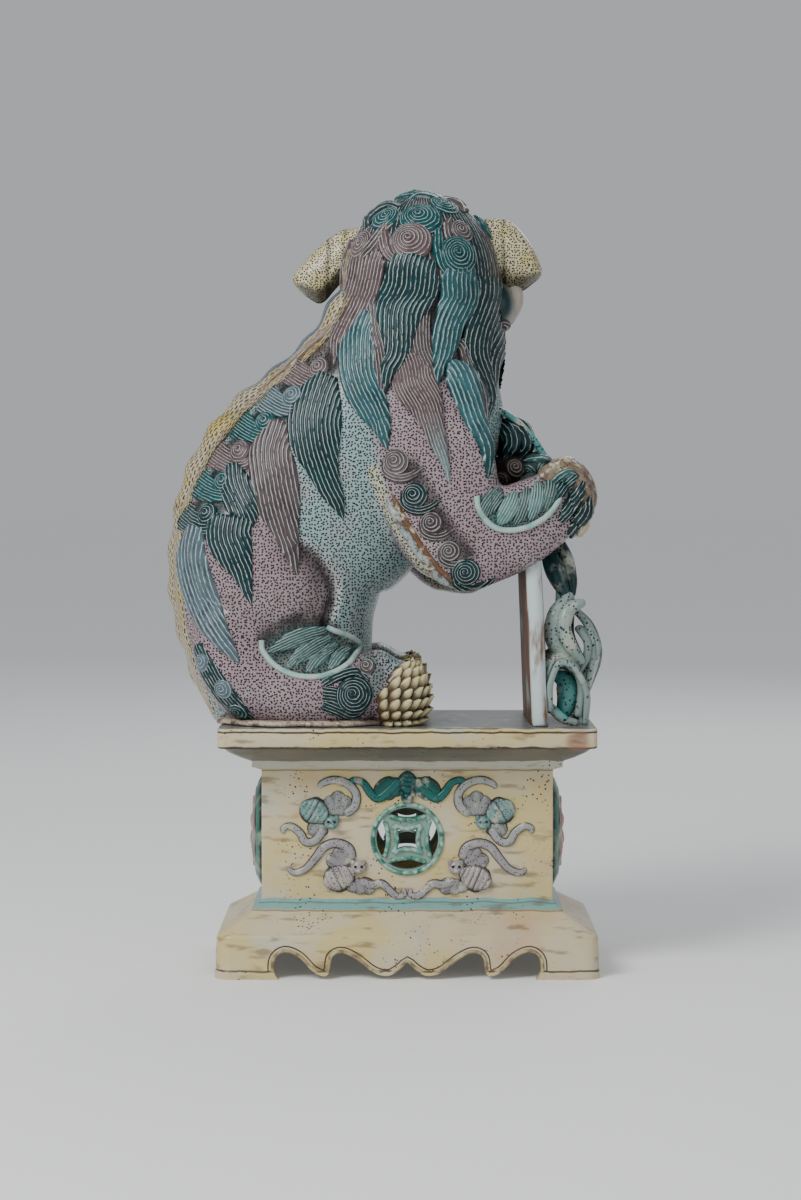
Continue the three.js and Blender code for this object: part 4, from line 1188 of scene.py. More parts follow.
hair = hair_glaze()
FLANK_LOCKS = [
    ([[-46, 350, 12], [-50.5, 338, 26], [-54, 323, 33], [-52.5, 308, 28], [-48.8, 294.9, 19],
      [-44.7, 284, 14], [-40.6, 275.7, 9], [-37.2, 266.2, 1.2]], DEEP_TEAL * 1.15),
    ([[-74, 323, 10], [-79, 306, 25], [-77.5, 290.8, 29], [-74.4, 274.4, 26], [-70.7, 260.7, 17],
      [-67, 247, 9], [-63.8, 234, 1.2]], GREY_LILAC),
    ([[-101, 298, 8], [-99.5, 286, 20], [-95, 275, 22], [-91.5, 267, 12], [-89, 262, 1.2]], DEEP_TEAL),
    ([[-102.2, 267.8, 25], [-103.5, 256.6, 28], [-99.4, 245.6, 22], [-94.9, 234.7, 12], [-92.6, 226.5, 7],
      [-90.1, 216.9, 1.2]], DEEP_TEAL * 1.1),
    ([[-123, 262, 10], [-126, 246, 19], [-123.5, 230.6, 22], [-118, 215.5, 21], [-110, 201, 14],
      [-103, 191, 8], [-97, 183, 1.2]], BLUE_GREY * 0.9),
]
NEAR_TRESSES = [
    ([[30, 370, 6], [33, 365.5, 9], [35.9, 353.8, 9], [41.2, 342.2, 8], [44.1, 330.5, 5], [46.4, 320, 1.2]],
     GREY_LILAC, 0.2, None),
    ([[8, 388, 10], [7, 375, 14], [8, 363, 15], [13, 352, 11], [16.1, 340, 1.5]], GREY_LILAC, 0.2, None),
    ([[-20, 392, 14], [-19, 376, 16], [-16, 360, 14], [-15, 345, 8],
      [-16, 332, 1.5]], GREY_LILAC * 0.8, 0.2, None),
    ([[-22.3, 387, 9], [-27, 374.8, 22], [-28.2, 363.2, 24], [-28.2, 351.5, 23], [-24.7, 339.9, 23],
      [-18.8, 328.2, 18], [-14.2, 317.7, 10], [-11.9, 306, 1.2]], TEAL * 0.9 + BLUE_GREY * 0.25, 0.8, None),
    ([[-20.5, 424, 17], [-22.9, 417, 22], [-25.2, 405.1, 24], [-29.9, 391.1, 22], [-36.3, 378.3, 15],
      [-41, 367.8, 7], [-43, 356, 1.2]], HAIR_LILAC * 0.85, 1.2, None),
    ([[0, 362.5, 5], [2.1, 354.5, 21], [4.5, 343.4, 26], [10.3, 332.9, 21], [13.8, 322.4, 14],
      [17.3, 310.7, 10], [21.9, 297.9, 4.5], [24, 287, 1.2]], HAIR_LILAC * 0.9, 1.0, CELADON * 0.85),
    ([[58, 404, 12], [60, 393, 18], [57.5, 378.3, 18], [49.9, 360.8, 11], [48.7, 345.7, 6], [49.3, 333, 1.2]],
     DEEP_TEAL * 0.7, 0.4, None),
    ([[47.5, 408, 15], [47.6, 400, 20], [45.2, 388.8, 21], [40.6, 374.8, 19], [39.3, 363.2, 16],
      [42.9, 351.5, 13], [46.4, 339.9, 9], [47.6, 325, 1.5]], DEEP_TEAL, 1.0, None),
    ([[24.5, 357, 6], [30.1, 347.5, 17], [34.8, 335.2, 15], [38.3, 323.6, 11.5], [42.9, 313.1, 8],
      [45.8, 302.6, 5.5], [46.4, 289.5, 1.2]], TEAL + BLUE_GREY * 0.35, 1.6, TEAL * 0.8),
    ([[29.5, 412, 16], [28.9, 404, 21], [28.9, 393.5, 22], [23.5, 379.5, 17], [20.8, 365.5, 14],
      [18.4, 353.8, 8], [16.7, 342, 1.2]], TEAL + BLUE_GREY * 0.15, 2.2, None),
    ([[5.5, 418, 22], [3.3, 411, 28], [2.1, 400.4, 31], [-3.7, 386.5, 28], [-4.9, 372.5, 19], [-6, 360.8, 14],
      [-11, 351.5, 8.5], [-13.6, 337, 1.2]], DEEP_TEAL * 1.25, 2.2, None),
]
FAR_TRESSES = [
    ([[-30, 410, 22], [-36, 388, 26], [-40, 364, 22], [-38, 340, 14],
      [-30, 320, 2]], HAIR_LILAC * 0.9, 0.8, None),
    ([[-18, 384, 18], [-26, 362, 24], [-28, 340, 22], [-22, 322, 12], [-14, 304, 2]], TEAL, 1.6, None),
    ([[-4, 372, 16], [-8, 352, 20], [-4, 334, 16], [2, 314, 2]], GREY_LILAC, 1.0, None),
    ([[10, 368, 16], [10, 346, 20], [14, 326, 16], [18, 304, 2]], TEAL, 1.8, CELADON * 0.8),
    ([[26, 370, 16], [28, 350, 20], [26, 332, 14], [30, 312, 2]], HAIR_LILAC, 1.0, CELADON),
    ([[42, 384, 16], [44, 362, 18], [40, 342, 14], [42, 320, 2]], TEAL, 1.6, None),
    ([[54, 392, 12], [54, 370, 14], [50, 350, 12], [48, 328, 2]], DEEP_TEAL, 0.8, None),
]
NAPE_LOCKS = [
    ([[-14, 424, 12], [-13, 404, 14], [-12, 384, 12], [-11, 360, 8], [-10, 336, 2]], BUFF * 0.8, 0.8, None),
    ([[14, 424, 12], [13, 404, 14], [12, 384, 12], [11, 360, 8], [10, 336, 2]], BUFF * 0.8, 0.8, None),
    ([[0, 430, 14], [0, 414, 12], [0, 400, 8], [0, 386, 2]], HAIR_LILAC * 0.8, 1.6, None),
]

mane = Clay()
for side_view, tresses in (("near", NEAR_TRESSES), ("far", FAR_TRESSES), ("back", NAPE_LOCKS)):
    for stations, tint, lift, tip in tresses:
        fine = FINE_THREAD if tint[0] > tint[1] else THREAD  # the lilac locks are combed finer
        lock(mane, stations, side_view, tint, lift=lift, thread=fine, tip_tint=tip)
ride(mane.piece("mane", hair), "lion_glaze")
flank_hair = Clay()
for side_view in ("near", "far"):
    for stations, tint in FLANK_LOCKS:
        lock(flank_hair, stations, side_view, tint, thick=2.6, lift=0.2)
ride(flank_hair.piece("flank_locks", hair), "lion_glaze")

# Curls: discs of clay combed in a spiral and stuck down. A row runs beside the spine, each with a fan of
# strands that leaves the spine and winds up round it, and others stand on the rump, the arm and the foot.
CURL_THREAD = 1.8
STRAND_THREAD = 1.7
CURL_COLUMNS = 44
BACK_CURL = 6.8
BACK_CURLS = [
    (-51.4, 354, HAIR_LILAC), (-66.7, 337.6, BLUE_GREY), (-82.7, 322.7, TEAL),
    (-97.6, 305.5, HAIR_LILAC * 0.95), (-107, 287.8, TEAL), (-116.3, 268.8, DEEP_TEAL * 1.2),
]
FAN = [[-2.4, -0.1, 2.9], [-1.4, -0.75, 2.1], [-0.4, -1.15, 1.3], [0.5, -1.05, 0.9], [1.0, -0.4, 0.4]]
RUMP_CURLS = [
    (-118.8, 183, 5.5, BLUE_GREY), (-106.5, 167.8, 6, BLUE_GREY), (-97.8, 154.6, 6.4, DEEP_TEAL * 1.4),
]
TAILS = [  # combed ground round the curls of rump and foot
    ([[-122, 193, 6], [-113.5, 176, 12], [-103, 161, 13], [-91, 149, 7]], DEEP_TEAL),
    ([[-48.6, 171, 5], [-39.7, 175.5, 6.5], [-29.5, 178, 5], [-21.9, 173, 1.5]], DEEP_TEAL),
    ([[-48.9, 165.5, 8], [-42, 164.5, 10], [-34.6, 162.4, 4]], DEEP_TEAL * 0.9),
    ([[-48.6, 159.5, 7], [-39.7, 156, 9], [-31.2, 152.4, 5], [-22.7, 157, 1.5]], DEEP_TEAL),
]
ARM_TAIL = [[-1.0, 0.3, 0.2], [-0.75, -0.75, 0.75], [0.25, -1.2, 0.95], [1.2, -1.0, 0.7], [2.1, -0.4, 0.15]]
ARM_CURLS = [
    (-6.5, 299, 7.5, GREY_LILAC * 1.2), (4, 280, 7.2, DEEP_TEAL), (14, 264, 6.6, GREY_LILAC),
    (24.3, 247.5, 6.2, GREY_LILAC), (34, 235.5, 8.2, DEEP_TEAL),
]
FOOT_CURLS = [(-30.5, 164.5, 11, DEEP_TEAL), (-23.5, 180.5, 5, GREY_LILAC)]


def laid(point, outward, tree=None, reach=18.0):
    """The skin's place and slope under a point, looking back along the outward way."""
    tree = tree or body_tree
    hit, normal, _, gap = tree.ray_cast(Vector(point + outward * reach), Vector(-outward), reach * 2)
    if hit is None or np.dot(normal, outward) < 0.1 or gap > reach * 2:
        hit, normal, _, _ = tree.find_nearest(Vector(point))
    return np.array(hit), np.array(normal)


def curl(clay, at, outward, radius, height, hand, tint, tree=None, lift=0.0):
    """A low dome wound hand-wise into its eye, which stands off its middle, draped on the skin."""
    right = unit(np.cross(Z_AXIS if abs(outward[2]) < 0.95 else Y_AXIS, outward))
    up = np.cross(outward, right)
    angle = np.linspace(0, 2 * math.pi, CURL_COLUMNS, endpoint=False)
    inner = np.linspace(1, 0.05, max(int(radius / CURL_THREAD * 6), 12))
    shares = np.concatenate([[0.7, 1.02], inner])
    turns = np.linspace(0, 1, CURL_COLUMNS + 1) * hand
    rings = []
    across = []
    for k, share in enumerate(shares):
        phase = share * radius / CURL_THREAD - turns
        comb = (0.5 + 0.5 * np.cos(2 * math.pi * phase[:-1])) ** 1.3
        full = min(1.0, (1 - share) * 5 + 0.25)
        lifts = lift + height * math.sqrt(max(1 - share**2.4, 0)) + COMB_DEPTH * full * (comb - 0.5)
        if share < 0.14:
            lifts = lifts + height * 0.25
        if k < 2:
            lifts = np.full(CURL_COLUMNS, (-2.5, -1.0)[k])
        eye = at + (right * -hand * 0.2 + up * 0.16) * radius * (1 - min(share, 1))
        spots = eye + radius * share * (np.cos(angle)[:, None] * right + np.sin(angle)[:, None] * up)
        found = [laid(spot, outward, tree) for spot in spots]
        places = np.array([place for place, _ in found])
        slopes = unit(np.array([slope for _, slope in found]) + outward)
        rings.append(places + slopes * lifts[:, None])
        across.append(phase)
    clay.shell(np.array(rings), np.array(across), tint=tint)


def side_curl(clay, x, z, radius, side, tint, lift=0.4, tree=None):
    """A curl seen from the near side (-1) or the far side (1)."""
    place, slope = settled(np.array([x, 0, z]), -side * Y_AXIS, FIRST_DEPTH, tree)
    curl(clay, place, unit(slope + 0.6 * side * Y_AXIS), radius, radius * 0.24, -side, tint, tree, lift)


curls = Clay()
for side, side_view in SIDES:
    for x, z, tint in BACK_CURLS:
        fan = [[x + dx * BACK_CURL, z + dz * BACK_CURL, w * BACK_CURL] for dx, dz, w in FAN]
        lock(curls, fan, side_view, tint, thick=1.6, lift=0.2, thread=STRAND_THREAD)
        side_curl(curls, x, z, BACK_CURL, side, tint, lift=1.0)
    for stations, tint in TAILS:
        lock(curls, stations, side_view, tint, thick=1.3, thread=STRAND_THREAD)
    for x, z, radius, tint in ARM_CURLS:
        tail = [[x + dx * radius, z + dz * radius, w * radius] for dx, dz, w in ARM_TAIL]
        lock(curls, tail, side_view, tint * 0.75, thick=1.6, thread=STRAND_THREAD)
    for x, z, radius, tint in RUMP_CURLS + ARM_CURLS + FOOT_CURLS:
        side_curl(curls, x, z, radius, side, tint, lift=0.8)
ride(curls.piece("curls", hair), "lion_glaze")

# The cap: hair combed back from the brow over the crown, under thirteen spiral curls of three tones. The
# curls and their strands are pressed on over the combed ground.
CAP_CURLS = [  # across, forward and up from the head's middle, radius, tint
    (9, -38, 35, 12.5, TEAL), (5.5, -46, 19, 12, HAIR_LILAC), (31, -36, 11, 11.5, TEAL),
    (31, -28, 26, 7.5, GREY_LILAC), (-27, -35, 18, 9, HAIR_LILAC), (-14, -33, 34, 9, TEAL),
    (-5, -5, 51, 11, TEAL), (18.5, -19, 43, 9, TEAL), (8, 16, 50, 9, HAIR_LILAC), (-14, 18, 46, 9, TEAL),
    (36, 8, 32, 9, TEAL), (-40, 6, 30, 9, GREY_LILAC), (-20, -20, 43, 7, GREY_LILAC),
]
CAP_RADII = (46.0, 48.6, 51.0)
CAP_THREADS = 92
CAP_SWIRL = 2.4
CAP_DROP = -0.6
fall = np.linspace(0.03, 1.75, 60)[:, None]
turn = np.linspace(0, 2 * math.pi, 241)
crown_phase = CAP_THREADS * turn + CAP_SWIRL * np.sin(fall * 3)
comb = (0.5 + 0.5 * np.cos(crown_phase[:, :-1])) ** 1.3
swell = 1 + 0.010 * comb * np.minimum(1, fall * 2.2)
turn = turn[:-1]
crown = turned(
    CAP_RADII[0] * np.sin(fall) * np.cos(turn) * swell,
    CAP_RADII[1] * np.sin(fall) * np.sin(turn) * swell,
    CAP_RADII[2] * np.cos(fall) * swell,
    FACING,
)
sectors = np.broadcast_to((0.5 + 0.5 * np.sin(5 * turn + 1.2))[:, None], (*crown.shape[:2], 1))
crown_tint = DEEP_TEAL + (GREY_LILAC * 0.8 - DEEP_TEAL) * sectors
cap = Clay()
cap.shell(crown + in_head(0, 0, CAP_DROP), crown_phase / (2 * math.pi), fall * CAP_RADII[0], crown_tint)
head_clay = Clay()
head_clay.shell(egg(in_head(0, 0, CAP_DROP), CAP_RADII, FACING, sides=64))
head_form = head_clay.piece("head_form")
head_tree = skin_tree(skin_of(head_form)[0], head_form)
bpy.data.objects.remove(head_form)
CAP_TAILS = [  # strands that come down beside a curl and turn under it
    ([[-11.9, 439, 4], [-12.4, 428, 8], [-8.8, 417.5, 6], [1, 413, 1.5]], HAIR_LILAC * 0.9),
    ([[17.6, 434, 4], [17.2, 423, 7], [20, 412, 5], [28.5, 406.5, 1.5]], TEAL),
    ([[-8, 440, 3], [-15.3, 428.5, 8], [-24, 419, 6], [-33.5, 417, 1.5]], GREY_LILAC),
    ([[25, 442, 3], [22.4, 435.5, 5], [24.6, 427.5, 4], [31.5, 425, 1.2]], GREY_LILAC),
    ([[-3, 448, 3], [-11, 449, 6], [-20.5, 442, 7], [-25, 433, 1.5]], DEEP_TEAL),
    ([[22, 452, 3], [16, 454, 6], [6, 456, 6], [-4, 452, 2]], TEAL),
    ([[34, 446, 5], [30, 452, 7], [22, 455, 5], [14, 451, 1.5]], GREY_LILAC),
]
for side_view in ("near", "far"):
    for stations, tint in CAP_TAILS:
        lock(cap, stations, side_view, tint, thick=2.6, lift=2.4, thread=CURL_THREAD)
for across, forward, up, radius, tint in CAP_CURLS:
    outward = unit(in_head(across, forward, up) - HEAD)
    place, slope = laid(in_head(across, forward, up), outward, head_tree, 60)
    hand = 1 if across >= 0 else -1
    lift = 0.8 + 0.07 * max(0, 38 - up)  # the lowest curls lie over the roots of the locks
    curl(cap, place, unit(slope + outward), radius, radius * 0.2, hand, tint, head_tree, lift)
ride(cap.piece("cap", hair), "lion_glaze")

# The ears: cupped leaves of clay folded along two lines, in cream glaze with black stipple. They are modelled
# by hand and luted to the head.
EAR_ROWS = {  # [x, top, bottom]
    "far_ear": [
        [39.1, 442.3, 419.6], [43.9, 444.1, 412.4], [49.9, 445.3, 407], [55.9, 445, 403.4],
        [60.7, 444.1, 401], [65.5, 440.5, 401.6], [70.3, 435.1, 402.8], [75.1, 428.6, 406.4],
        [78.7, 420.8, 409.4], [80.5, 416, 411.8],
    ],
    "near_ear": [
        [-26, 438, 422], [-29.2, 439.9, 419.6], [-34, 439.3, 414.8], [-39.9, 438.1, 407],
        [-44.7, 435.1, 401.6], [-48.9, 432.2, 396.8], [-53.1, 428.6, 395], [-57.9, 423.8, 397.4],
        [-62.7, 419, 401], [-66.3, 414.8, 404.6], [-68.7, 411.2, 408.2],
    ],
}
EAR_MIDDLE = {"far_ear": (4.0, 8.0), "near_ear": (6.0, 13.0)}
EAR_FOLDS = {"far_ear": (47.0, 57.5), "near_ear": (-37.0, -47.0)}
EAR_HALF_THICK = 2.2
EAR_BULGE = 7.0
FOLD_HEIGHT = 1.6
FOLD_WIDTH = 1.1
ears = Clay()
v = np.linspace(-1, 1, 31)
rim = 0.45 * smooth_step(np.abs(v), 0.93, 0.99)
for ear_name, rows in EAR_ROWS.items():
    run, length = flow(rows, 1.2, 1)
    root, tip = EAR_MIDDLE[ear_name]
    rings = []
    tints = []
    for (x, top, bottom), at in zip(run, length):
        middle = root + (tip - root) * (at / length[-1])
        half = (top - bottom) / 2
        fold = sum(FOLD_HEIGHT * math.exp(-(((x - line) / FOLD_WIDTH) ** 2)) for line in EAR_FOLDS[ear_name])
        bulge = EAR_BULGE * (1 - np.abs(v) ** 2.2) * min(1, half / 12)
        turned_under = 3.5 * smooth_step(-v, 0.45, 0.95)
        thick = EAR_HALF_THICK * min(1, half / 5) * (1 - v**8)
        near = middle - bulge + fold * (1 - v**2) + turned_under - thick
        away = middle - bulge * 0.55 + turned_under + thick
        z = (top + bottom) / 2 + v * half
        near_side, far_side = (np.stack([np.full(len(v), x), y, z], -1) for y in (near, away))
        rings.append(np.concatenate([near_side, far_side[::-1]]))
        # Painted shade: the near face darkens on its turned-under lower part and along the two folds.
        painted_shading = 1 - 0.75 * smooth_step(-v, 0.25, 0.7) - 0.6 * min(1, fold / 1.5)
        near_tint = tone(196, 186, 152) * np.maximum(painted_shading - rim, 0.05)[:, None]
        away_tint = tone(186, 172, 130) * (1 - rim[::-1])[:, None]
        tints.append(np.concatenate([near_tint, away_tint]))
    ears.shell(np.array(rings), tint=np.array(tints))


def ear_glaze():
    """Cream with buff stains under the stipple."""
    glaze = Glaze("ear_glaze", 0.32)
    colour = glaze.over(glaze.patches(70, 3, 0.5, 0.72), glaze.tint, tone(178, 170, 118))
    colour = glaze.over(glaze.times(glaze.patches(120, 4, 0.56, 0.78), 0.4), colour, BUFF)
    dots = glaze.dots(640, 0.24, 0.36, 0.8)
    return glaze.finish(glaze.over(dots, colour, INK), glaze.maths("SUBTRACT", 1.0, dots), 0.00015)


ride(ears.piece("ears", ear_glaze()), "lion_glaze")

# The face: bulging eyes under curled brows, a broad nose and an open mouth with teeth and fangs, pressed
# in the mould and sharpened by hand. It looks away to the far side.
CHEEK = tone(132, 136, 130)
TURQUOISE = tone(82, 150, 146)
FACE = [  # across, forward, up, three radii, tint
    (0, 36, -8, 29, 24, 20, CELADON), (0, 42, 15, 11, 14, 13, CELADON), (0, 57, -1, 13, 9.6, 9, TURQUOISE),
    (0, 38, -37, 20, 18, 8.5, CELADON), (0, 20, -26, 34, 24, 18, CHEEK),
]
FACE_PAIRS = [
    (21, 41, 29, 15, 9, 6, TEAL), (9, 60.5, -5, 6, 5, 5.2, TURQUOISE), (16, 49, -12, 13, 11, 8, TURQUOISE),
    (39, 23, -14, 15, 18, 16, CHEEK), (28, 36, -27, 13, 14, 11, CHEEK), (30, 38, 4, 12, 9, 8, CELADON),
]
face_clay = Clay()
face_eggs = []
for across, forward, up, *radii, tint in FACE + [(side * a, *b) for a, *b in FACE_PAIRS for side in (-1, 1)]:
    face_clay.shell(egg(in_head(across, forward, up), radii, FACING))
    face_eggs.append((in_head(across, forward, up), np.array(radii), tint))
face = remeshed(face_clay.piece("rough_face"), "face", 1.3, 5)
face_points, face_normals = skin_of(face)
mouth = face_points - in_head(0, 50, -25)
mouth_gap = np.sqrt((mouth[:, 0] / 17) ** 2 + (mouth[:, 1] / 26) ** 2 + (mouth[:, 2] / 7.5) ** 2)
face_points -= face_normals * (4.5 * smooth_step(mouth_gap, 1.15, 0.75))[:, None]
closeness = np.array([np.linalg.norm((face_points - at) / radii, axis=1) for at, radii, _ in face_eggs])
weights = np.exp(-10 * (closeness - closeness.min(0)))
weights /= weights.sum(0)
face_tint = (weights[..., None] * np.array([tint for _, _, tint in face_eggs])[:, None]).sum(0)
# Painted shade: the face's tint darkens where two of its forms meet, in the creases between them.
creases = np.partition(closeness, 1, axis=0)
face_tint *= (0.3 + 0.7 * smooth_step(creases[1] - creases[0], 0.0, 0.16))[:, None]
forward_way = unit(in_head(0, 1, 0) - HEAD)
ahead_of_ears = (face_points - HEAD) @ forward_way
face_tint += (DEEP_TEAL * 0.7 - face_tint) * smooth_step(ahead_of_ears, 17, 11)[:, None]
face_tint += (tone(74, 34, 40) - face_tint) * smooth_step(mouth_gap, 1.2, 0.95)[:, None]
reshape_skin(face, face_points)
dye(face.data, face_tint)
coat(face, skin_glaze("face_glaze", False))
ride(face, "lion_glaze")
face_tree = skin_tree(face_points, face)

CHEEK_FOLD = [(44, 24, 6, 2), (50, 22, -2, 4.8), (51.5, 22, -13, 5.2), (48, 24, -24, 2.5)]
EYE = (20, 43, 17)
LID_RADIUS = 10.2
LID_THICK = 1.7
features = Clay()
bone, gum = tone(178, 170, 142), tone(128, 78, 72)
features.shell(egg(in_head(0, 48, -29), [9, 13, 3.4], FACING), tint=gum)
for side in (-1, 1):
    eye = in_head(side * EYE[0], *EYE[1:])
    features.shell(egg(eye, [9.4, 9.4, 9], FACING, 40), tint=bone)
    features.shell(egg(eye + forward_way * 7.2, [4.4, 2.9, 4.4], FACING), tint=INK)
    lid_arc = arc(LID_RADIUS, 90, 88, 30)
    lid = np.array([eye + forward_way * 1.5 + (in_head(u, 0, w) - HEAD) for u, w in lid_arc])
    features.shell(limb(np.column_stack([lid, np.full((len(lid), 2), LID_THICK)]), sides=10), tint=TURQUOISE)
    for k in range(5):
        across = side * (3 + 5.6 * k)
        upper = in_head(across, 55 - 1.7 * k - 0.14 * k * k, -19.5)
        lower = in_head(across * 0.85, 50.5 - 1.9 * k, -31)
        features.shell(egg(upper, [2.5, 2.2, 3.4], FACING, 14), tint=bone)
        features.shell(egg(lower, [2.2, 2, 3], FACING, 14), tint=bone)
    fold = [[*in_head(side * x, y, z), r, r] for x, y, z, r in CHEEK_FOLD]
    features.shell(limb(fold, sides=18), tint=tone(168, 158, 146))
    fang = [[*in_head(side * 17.5, 52.5, z), r, r] for z, r in ((-15, 3.4), (-21, 3), (-27, 1.8), (-31, 0.5))]
    features.shell(limb(fang, sides=14), tint=bone)


def bone_glaze():
    """Cream horn and teeth, stained buff."""
    glaze = Glaze("bone_glaze", 0.25)
    colour = glaze.over(glaze.times(glaze.patches(180, 3, 0.55, 0.78), 0.5), glaze.tint, BUFF)
    return glaze.finish(colour, glaze.noise(400), 0.0001)


horn = bone_glaze()
ride(features.piece("eyes_and_teeth", horn), "lion_glaze")

FACE_CURLS = [  # across, forward and up from the head's middle, radius, tint
    (13, 47, 31, 5.5, TEAL), (24, 44, 33, 5.5, HAIR_LILAC), (34, 36, 30, 6, TEAL),
    (46, 14, -30, 7, HAIR_LILAC), (40, 28, -36, 8.5, TEAL), (12, 50, -43, 5.5, HAIR_LILAC),
    (25, 44, -43, 6.5, TEAL), (0, 30, 44, 5.5, TEAL),
]
face_hair = Clay()
for side in (-1, 1):
    for across, forward, up, radius, tint in FACE_CURLS:
        if across == 0 and side < 0:
            continue
        at = in_head(side * across, forward, up)
        outward = unit(at - in_head(0, 5, up * 0.6))
        place, _ = laid(at, outward, face_tree)
        curl(face_hair, place, outward, radius, radius * 0.42, side, tint, face_tree, 0.8)
ride(face_hair.piece("face_curls", hair), "lion_glaze")

# The leaf panels on forearm and shin: a leaf of ribbed lobes in turquoise inside a raised, pale round rim.
# The lobes are combed strips pressed on, and the rim is a rolled bead.
FOREARM_RIM = [
    [39.9, 279.5], [41.2, 271.4], [48.2, 262.8], [57.2, 259.8], [68.8, 261.5], [80.3, 267.9], [87.4, 277.5],
    [88.2, 285.5], [83.9, 291.7],
]
FOREARM_LOBES = [
    [[54.5, 283, 4], [50.5, 279, 11], [46, 272.5, 10], [44, 267, 2]],
    [[62.5, 281.5, 3], [60, 275, 10], [55.5, 267.5, 9], [52.4, 262.8, 2]],
    [[69, 284, 3], [68, 277, 9], [65, 269, 8.5], [62, 263, 2]],
    [[75.2, 287, 3], [75, 280.5, 9], [73, 272.5, 8.5], [70.5, 265.5, 2]],
    [[82.5, 290.5, 3], [82.6, 284.5, 8.5], [81, 277.5, 8], [78.5, 270.5, 2]],
]
SHIN_RIM = [
    [-84.6, 196], [-84, 189.6], [-77.1, 181.5], [-66.6, 176.3], [-55, 174.8], [-44, 176.9], [-33.6, 182.7],
    [-28.4, 190.8], [-31.5, 195.5], [-38, 199], [-46.5, 202.4],
]
SHIN_LOBES = [
    [[-46, 202, 2], [-56, 200, 8], [-68, 195.5, 10], [-81, 189, 2]],
    [[-44, 197.5, 2], [-53, 193.5, 8.5], [-62, 187, 9.5], [-70, 180.5, 2]],
    [[-40.5, 193.5, 2], [-46.5, 189.5, 8], [-53, 184, 8.5], [-58.5, 178, 2]],
    [[-33.4, 192, 2], [-37, 188.5, 7.5], [-41.5, 184, 7.5], [-46, 179.5, 1.5]],
]


def trail(stations, view, lift):
    """A run on the skin under [right, up] stations of a side view, lifted off by so much."""
    right, up, look = (np.array(axis, float) for axis in VIEWS[view])
    run, _ = flow(stations, 1.6)
    depth = FIRST_DEPTH
    places = []
    for spot in run:
        place, slope = settled(spot[0] * right + spot[1] * up, look, depth)
        depth = np.dot(place, look)
        places.append(place + unit(slope) * lift)
    return np.array(places)


LEAF_THREAD = 1.5
LEAF_THICK = 2.2
LEAF_LIFT = 0.7
RIM_LIFT = 0.6
RIM_RADIUS = 1.7
panel_lobes = Clay()
rims = []
for _, side_view in SIDES:
    rims += [trail(outline, side_view, RIM_LIFT) for outline in (FOREARM_RIM, SHIN_RIM)]
    for k, stations in enumerate(FOREARM_LOBES):
        shade = tone(98, 140, 136) * (0.55, 1.1)[k % 2]
        lift = LEAF_LIFT * (k % 2)
        lock(panel_lobes, stations, side_view, shade, LEAF_THICK, lift, LEAF_THREAD)
    for stations in SHIN_LOBES:
        lock(panel_lobes, stations, side_view, tone(84, 120, 116), LEAF_THICK, thread=LEAF_THREAD)
pale_rim_glaze = plain_glaze("pale_rim_glaze", tone(150, 186, 178), tone(120, 160, 152), tone(176, 186, 176))
rim_wires = wires(rims)
panel_rims = modelled(BEADS, "panel_rims", rim_wires, Radius=RIM_RADIUS * MM, Sides=12, Glaze=pale_rim_glaze)
ride(panel_rims, "lion_glaze")
ride(panel_lobes.piece("panel_leaves", hair), "lion_glaze")

# The forepaws: four toes that curl over the ball, with pale horn claws, under tufts of dark wrist hair. All
# are rolled or combed by hand and pressed on.
TOES = ((-47, 0), (-37, 2.5), (-26, 3), (-14, 0.5))  # each toe's y and how far it stands out
TOE = [(82, 291, 6.5, 6), (91, 295, 7, 6.3), (99, 288, 7, 6.3), (102, 277, 6.5, 6.2), (98, 268, 5.5, 5.4)]
KNUCKLES = ((92, 298), (101.5, 288), (103.5, 277))
CLAW = ((99, 268, 3.6, 3.2), (101.5, 262, 2.8, 2.4), (99, 256, 0.7, 0.7))
WRIST_LOCKS = [
    ([[94, 256, 4], [98, 263, 8], [103, 270, 8], [105.5, 279, 2]], DEEP_TEAL * 0.75),
    ([[88, 265, 4], [93, 271, 9], [98, 279, 9], [102, 288, 2]], DEEP_TEAL * 0.85),
    ([[85, 277, 4], [89, 283, 8], [94, 288, 7], [99, 292, 1.5]], TEAL * 0.6),
    ([[84, 287, 3], [88, 291, 5], [93, 293, 5], [98, 292, 1.5]], TURQUOISE * 0.5),
]
toes = Clay()
claws = Clay()
wrist_hair = Clay()
for side in (-1, 1):
    for near_y, out in TOES:
        y = -side * near_y
        root = (TOE[0][0], y, *TOE[0][1:])  # it stays inside the paw
        toe = [root, *((x + out, y, z, *radii) for x, z, *radii in TOE[1:])]
        toes.shell(limb(toe, sides=22), tint=tone(124, 108, 90))
        for x, z in KNUCKLES:
            toes.shell(egg([x + out, y, z], [4.6, 5, 4.6], sides=18), tint=tone(172, 160, 134))
        claws.shell(limb([(x + out, y, z, *radii) for x, z, *radii in CLAW], sides=14), tint=bone)


def paw_glaze():
    """Cream and brown in the creases, with fine scratches of black."""
    glaze = Glaze("paw_glaze", 0.3)
    colour = glaze.over(glaze.patches(260, 3, 0.46, 0.66), glaze.tint, tone(98, 80, 66))
    colour = glaze.over(glaze.patches(210, 3, 0.55, 0.7), colour, tone(190, 184, 160))
    colour = glaze.over(glaze.times(glaze.spots(700, 0.2, 0.32), 0.8), colour, INK)
    return glaze.finish(colour, glaze.noise(500), 0.0003)


toe_glaze = paw_glaze()
paws = toes.piece("forepaw_toes", toe_glaze)
paw_tree = skin_tree(np.concatenate([skin_of(paws)[0], body_points]), paws, body)
for _, side_view in SIDES:
    for stations, tint in WRIST_LOCKS:
        lock(wrist_hair, stations, side_view, tint, thick=2.6, lift=0.6, thread=STRAND_THREAD, tree=paw_tree)
ride(paws, "lion_glaze")
ride(claws.piece("claws", horn), "lion_glaze")
ride(wrist_hair.piece("wrist_hair", hair), "lion_glaze")

